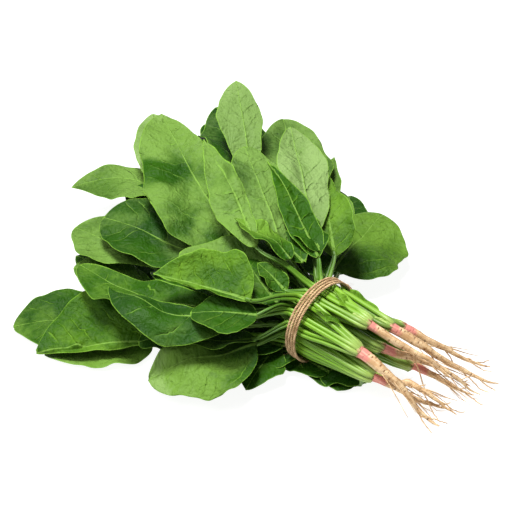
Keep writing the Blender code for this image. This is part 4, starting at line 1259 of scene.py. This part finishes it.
def stalk_parts(leaf, plant, line, radius, grid, rng):
    """The leaf's own stalk, from inside the crown to inside the blade's foot, and two of its
    neighbours' that run with it and end under the blade. The three fill the stalk's round section, and
    turn slowly about each other."""
    rows, sides = (16, 8) if leaf.plain else (44, 12)
    middle = midrib_line(grid)
    inside = middle[int(len(middle) * 0.05) + 1]
    centre, ahead = crown_frame(plant)
    out = line[0] - centre
    neck = centre + 0.5 * CROWN_LENGTH * ahead + 0.6 * (out - (out @ ahead) * ahead)
    stations = np.concatenate([[neck], line, [middle[0]], [inside]])
    sizes = np.concatenate([[0.7 * radius[0]], radius, [rib_radius(0.0) * 1.02, rib_radius(0.1) * 0.9]])
    path, size = fine_path(stations, rows), fine_path(sizes, rows)
    share = np.linspace(0, 1, rows)
    _, across, up = path_frame(path, (0, 0, 1.0))
    start, twist = rng.random() * 2 * math.pi, rng.normal(0, 1.2)
    parts = []
    for strand in range(3):
        turn = start + strand * 2 * math.pi / 3 + twist * share
        away = STRAND_AWAY * size * (1 + 0.25 * np.sin(5 * share + 6 * rng.random()))
        thick = STRAND_SIZE * size * rng.uniform(0.85, 1.15)
        if strand == 0:
            away = away * (1 - smooth_step(share, 0.55, 0.95))
            thick = thick + (rib_radius(0.0) - thick) * smooth_step(share, 0.6, 0.97)
        else:
            thick = thick * (1 - 0.6 * smooth_step(share, 0.5, 1))
        own = path + away[:, None] * (np.cos(turn)[:, None] * across + np.sin(turn)[:, None] * up)
        last = rows if strand == 0 else int(rows * rng.uniform(0.86, 0.97))
        section = ribbed(7, 0.1, math.pi / 2 + rng.normal(0, 0.6), 0.28)
        part = tube_part(own[:last], thick[:last], sides, section=section)
        parts.append(spread(part, shade=np.clip(rng.normal(0.2, 0.2), 0, 0.75)))
    return parts


def crown_part(plant, rng):
    """A barrel of dry scales that closes on the neck, lumpy round it."""
    centre, ahead = crown_frame(plant)
    _, neck, _ = ROOTS[plant]
    share = np.array([-0.6, -0.35, -0.1, 0.15, 0.35, 0.5, 0.56])
    radius = np.array([1.5, 2.2, 2.8, 3.4, 0.6 * neck + 1.4, neck * 1.0, neck * 0.85]) * MM
    rows = 30
    line = centre + fine_path(share, rows)[:, None] * CROWN_LENGTH * ahead
    phase = rng.random() * 6

    def scales(angle, share):
        """Seven lobes round the crown, with fine waves on them, that fade out towards the neck."""
        lobes = 0.2 * np.abs(np.cos(3.5 * angle + phase)) - 0.12
        lobes = lobes + 0.04 * np.sin(11 * angle + 9 * share + phase)
        return 1 + lobes * np.clip(2.4 - 2.4 * share, 0, 1)

    return tube_part(line, fine_path(radius, rows), 28, section=scales)


def root_parts(plant, tubes, rng):
    """The taproot and side roots at fine steps, slightly uneven, and a few finer side roots and root
    hairs that leave the taproot at slants."""
    parts = []
    for number, (line, radius) in enumerate(tubes):
        rows, sides = (90, 18) if number == 0 else (40, 10)
        share = np.linspace(0, 1, rows)
        taper = np.interp(share, [0, 0.15, 0.45, 1], [1, 0.98, 0.9, 0.72])
        slimmer = taper if number == 0 else SIDE_SHARE
        path, size = fine_path(line, rows), fine_path(radius, rows) * slimmer
        waves = sum(
            np.sin(2 * math.pi * turns * share + rng.random() * 6) / turns**0.6
            for turns in (2, 3.7, 6.1, 11, 19)
        )
        size = size * (1 + 0.04 * waves * np.clip(share * 6, 0, 1))
        wander = np.clip(share * 3, 0, 1)[:, None] * [0, 0.3 * MM, 0.3 * MM]
        for turns in (1.3, 2.9, 6.3):
            sway = np.sin(2 * math.pi * turns * share[:, None] + rng.random((1, 3)) * 6)
            path = path + wander / turns**0.5 * sway
        path[:, 2] = np.maximum(path[:, 2], size + CLEARANCE)
        phase = rng.random() * 6

        def lumpy(angle, share, phase=phase):
            """1, with a slow and a quick wave that wind round the root."""
            slow = 0.04 * np.sin(3 * angle + 14 * share + phase)
            return 1 + slow + 0.03 * np.sin(5 * angle - 31 * share + phase)

        part = tube_part(path, size, sides, section=lumpy)
        gone = np.linalg.norm(np.diff(path, axis=0), axis=1).sum()
        part["gone"] = part.pop("along") * gone / MM
        parts.append(spread(part, neck=1 if number == 0 else 0))
        if number == 0:
            trunk, trunk_size = path, size
    for number in range(SIDE_ROOTS + HAIR_ROOTS):
        parts.append(rootlet(trunk, trunk_size, number >= SIDE_ROOTS, rng))
    return parts


def rootlet(trunk, trunk_size, hair, rng):
    """A thin side root: it leaves the trunk at a slant towards the tip, and bends and sinks a little on
    its way."""
    start = int(len(trunk) * rng.uniform(0.2, 0.65))
    along = trunk[min(start + 3, len(trunk) - 1)] - trunk[start]
    along /= np.linalg.norm(along)
    aside = np.cross(along, [0, 0, 1.0]) * rng.choice([-1, 1])
    length = rng.uniform(5, 14) * MM if hair else rng.uniform(18, 44) * MM
    rows = 16
    share = np.linspace(0, 1, rows)[:, None]
    bend = rng.normal(0, 0.35)
    slant = rng.uniform(0.3, 0.9) if hair else rng.uniform(0.12, 0.5)
    sway = np.sin(2 * math.pi * (rng.uniform(0.5, 1.2) * share + rng.random())) * 0.035
    off = along * share + aside * (share * slant + bend * share**2 * 0.3 + sway * share)
    off[:, 2] += rng.uniform(-0.05, 0.2) * share[:, 0] - 0.15 * share[:, 0] ** 2
    length = min(length, max(ROOT_ROOM - trunk[start][0], 4 * MM) / max(off[:, 0].max(), 0.3))
    path = trunk[start] + length * off
    size = (rng.uniform(0.16, 0.26) if hair else rng.uniform(0.4, 0.75)) * MM * (1 - 0.75 * share[:, 0])
    size = np.minimum(size, 0.8 * trunk_size[start])
    path[:, 2] = np.maximum(path[:, 2], size + CLEARANCE)
    part = tube_part(path, size, 4 if hair else 7)
    part["gone"] = part.pop("along") * 0 + 30
    return spread(part, neck=0)


def twine_parts(rng):
    """Three plies twisted round the coil's line, and loose fibres that stand off it."""
    line = fine_path(twine_line(), TWINE_ROWS)
    gone = np.concatenate([[0], np.cumsum(np.linalg.norm(np.diff(line, axis=0), axis=1))])
    _, across, up = path_frame(line, (1.0, 0, 0))
    parts = []
    for ply in range(3):
        turn = 2 * math.pi * (gone / PLY_PITCH + ply / 3)
        offset = np.cos(turn)[:, None] * across + np.sin(turn)[:, None] * up
        path = line + PLY_AWAY * TWINE_R * offset
        size = np.full(len(path), PLY_SIZE * TWINE_R) * (1 + 0.06 * np.sin(gone / (3.1 * MM) + 2 * ply))
        parts.append(tube_part(path, size, 8, reference=(1.0, 0, 0)))
    for _ in range(TWINE_HAIRS):
        station = rng.integers(0, len(line))
        out = rng.normal(0, 1, 3)
        out -= 0.3 * out @ across[station] * across[station]
        out /= np.linalg.norm(out)
        drift = rng.normal(0, 1, 3)
        share = np.linspace(0, 1, 5)[:, None]
        length = rng.uniform(*HAIR_LENGTHS) * MM
        path = line[station] + out * (0.8 * TWINE_R + length * share) + drift * length * 0.35 * share**2
        path[:, 2] = np.maximum(path[:, 2], CLEARANCE)
        parts.append(tube_part(path, np.full(5, HAIR_SIZE), 3))
    return parts


def build_camera():
    """The bunch seen from above its near side, with the twine a little right of the frame's middle and
    below it."""
    data = bpy.data.cameras.new("camera")
    data.lens, data.sensor_width = LENS, SENSOR
    obj = bpy.data.objects.new("camera", data)
    bpy.context.scene.collection.objects.link(obj)
    azimuth, elevation = math.radians(CAMERA_AZIMUTH), math.radians(CAMERA_ELEVATION)
    back = Vector((
        math.sin(azimuth) * math.cos(elevation),
        -math.cos(azimuth) * math.cos(elevation),
        math.sin(elevation),
    ))
    right = Vector((math.cos(azimuth), math.sin(azimuth), 0))
    up = back.cross(right)
    target = Vector(BUNCH_SHIFT) + Vector((0, 0, TIE_HEIGHT))
    target -= right * (TIE_RIGHT * VIEW_WIDTH) - up * (TIE_BELOW * VIEW_WIDTH)
    place = target + back * VIEW_WIDTH * LENS / SENSOR
    obj.matrix_world = Matrix((
        (right.x, up.x, back.x, place.x),
        (right.y, up.y, back.y, place.y),
        (right.z, up.z, back.z, place.z),
        (0, 0, 0, 1),
    ))
    data.clip_start = 0.01
    bpy.context.scene.camera = obj


def soft_light(name, place, target, size, power):
    """A round lamp of this size at the place, turned to the target."""
    data = bpy.data.lights.new(name, "AREA")
    data.shape, data.size, data.energy = "DISK", size, power
    obj = bpy.data.objects.new(name, data)
    obj.location = place
    obj.rotation_mode = "QUATERNION"
    obj.rotation_quaternion = (Vector(target) - Vector(place)).to_track_quat("-Z", "Y")
    bpy.context.scene.collection.objects.link(obj)


def build_stage():
    """A pale floor, a faint white sky and two soft lights: a strong one nearly overhead, and a broader
    and weaker one from the near side."""
    mesh = bpy.data.meshes.new("floor")
    half = FLOOR_HALF
    corners = [(-half, -half, 0), (half, -half, 0), (half, half, 0), (-half, half, 0)]
    mesh.from_pydata(corners, [], [(0, 1, 2, 3)])
    mesh.materials.append(floor_card())
    floor = bpy.data.objects.new("floor", mesh)
    bpy.context.scene.collection.objects.link(floor)
    world = bpy.data.worlds.new("sky")
    world.use_nodes = True
    sky = world.node_tree.nodes["Background"].inputs
    sky["Color"].default_value = (1, 1, 1, 1)
    sky["Strength"].default_value = SKY_GLOW
    bpy.context.scene.world = world
    for name, place, size, power in LIGHTS:
        soft_light(name, place, LIT_POINT, size, power)
    bpy.context.scene.view_settings.view_transform = "Standard"


low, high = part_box("twine_tie")
BUNCH_SHIFT = np.array([(low.x + high.x) / 2, low.y + BUNDLE_R + 2 * TWINE_R, 0])
ROOT_ROOM = CAD_BOX[1][0] - BUNCH_SHIFT[0] - 1.6 * MM  # no root reaches further along the axis

coarse_heap, fine_heap = Heap(), Heap()
laid = lay_bunch(coarse_heap)
looks = np.random.default_rng(11)
greens = {plant: [] for plant in range(len(CROWNS))}
stalks = {plant: [] for plant in range(len(CROWNS))}
for leaf, plant, line, radius, coarse, phase in laid:
    grid, marks = fine_blade(leaf, coarse, line[-1], phase, looks)
    grid = lay_fine(fine_heap, grid)
    stalks[plant] += stalk_parts(leaf, plant, line, radius, grid, looks)
    part = blade_part(leaf, grid, marks)
    fine_heap.add(part["points"][: grid.shape[0] * grid.shape[1]])
    greens[plant].append(part)

for leaf in INNER_LEAVES:
    foot = np.array([-leaf.ahead, leaf.across, leaf.height]) * MM
    flat_blade = blade_grid(leaf, blade_line(leaf, foot), coarse_columns(leaf), 0.0, outline)
    grid, marks = fine_blade(leaf, flat_blade, foot, 0.0, looks)
    greens[leaf.slot % len(CROWNS)].append(blade_part(leaf, grid, marks))

root_tubes = lay_roots(coarse_heap)
leaf_finish, stalk_finish, root_finish, crown_finish = leaf_skin(), stalk_skin(), root_skin(), crown_skin()
for plant in range(len(CROWNS)):
    node = f"plant_{plant + 1}"
    greens_node, root_node = [node + "_greens"], [node + "_root"]
    make_piece(node + "_blades", greens[plant], leaf_finish, greens_node, weld=False)
    make_piece(node + "_stalks", stalks[plant], stalk_finish, greens_node)
    make_piece(node + "_crown", [crown_part(plant, looks)], crown_finish, greens_node)
    roots = root_parts(plant, root_tubes[plant], looks)
    make_piece(node + "_roots", roots, root_finish, root_node)
make_piece("twine", twine_parts(looks), twine_fibre(), ["twine_tie"])
build_stage()
build_camera()
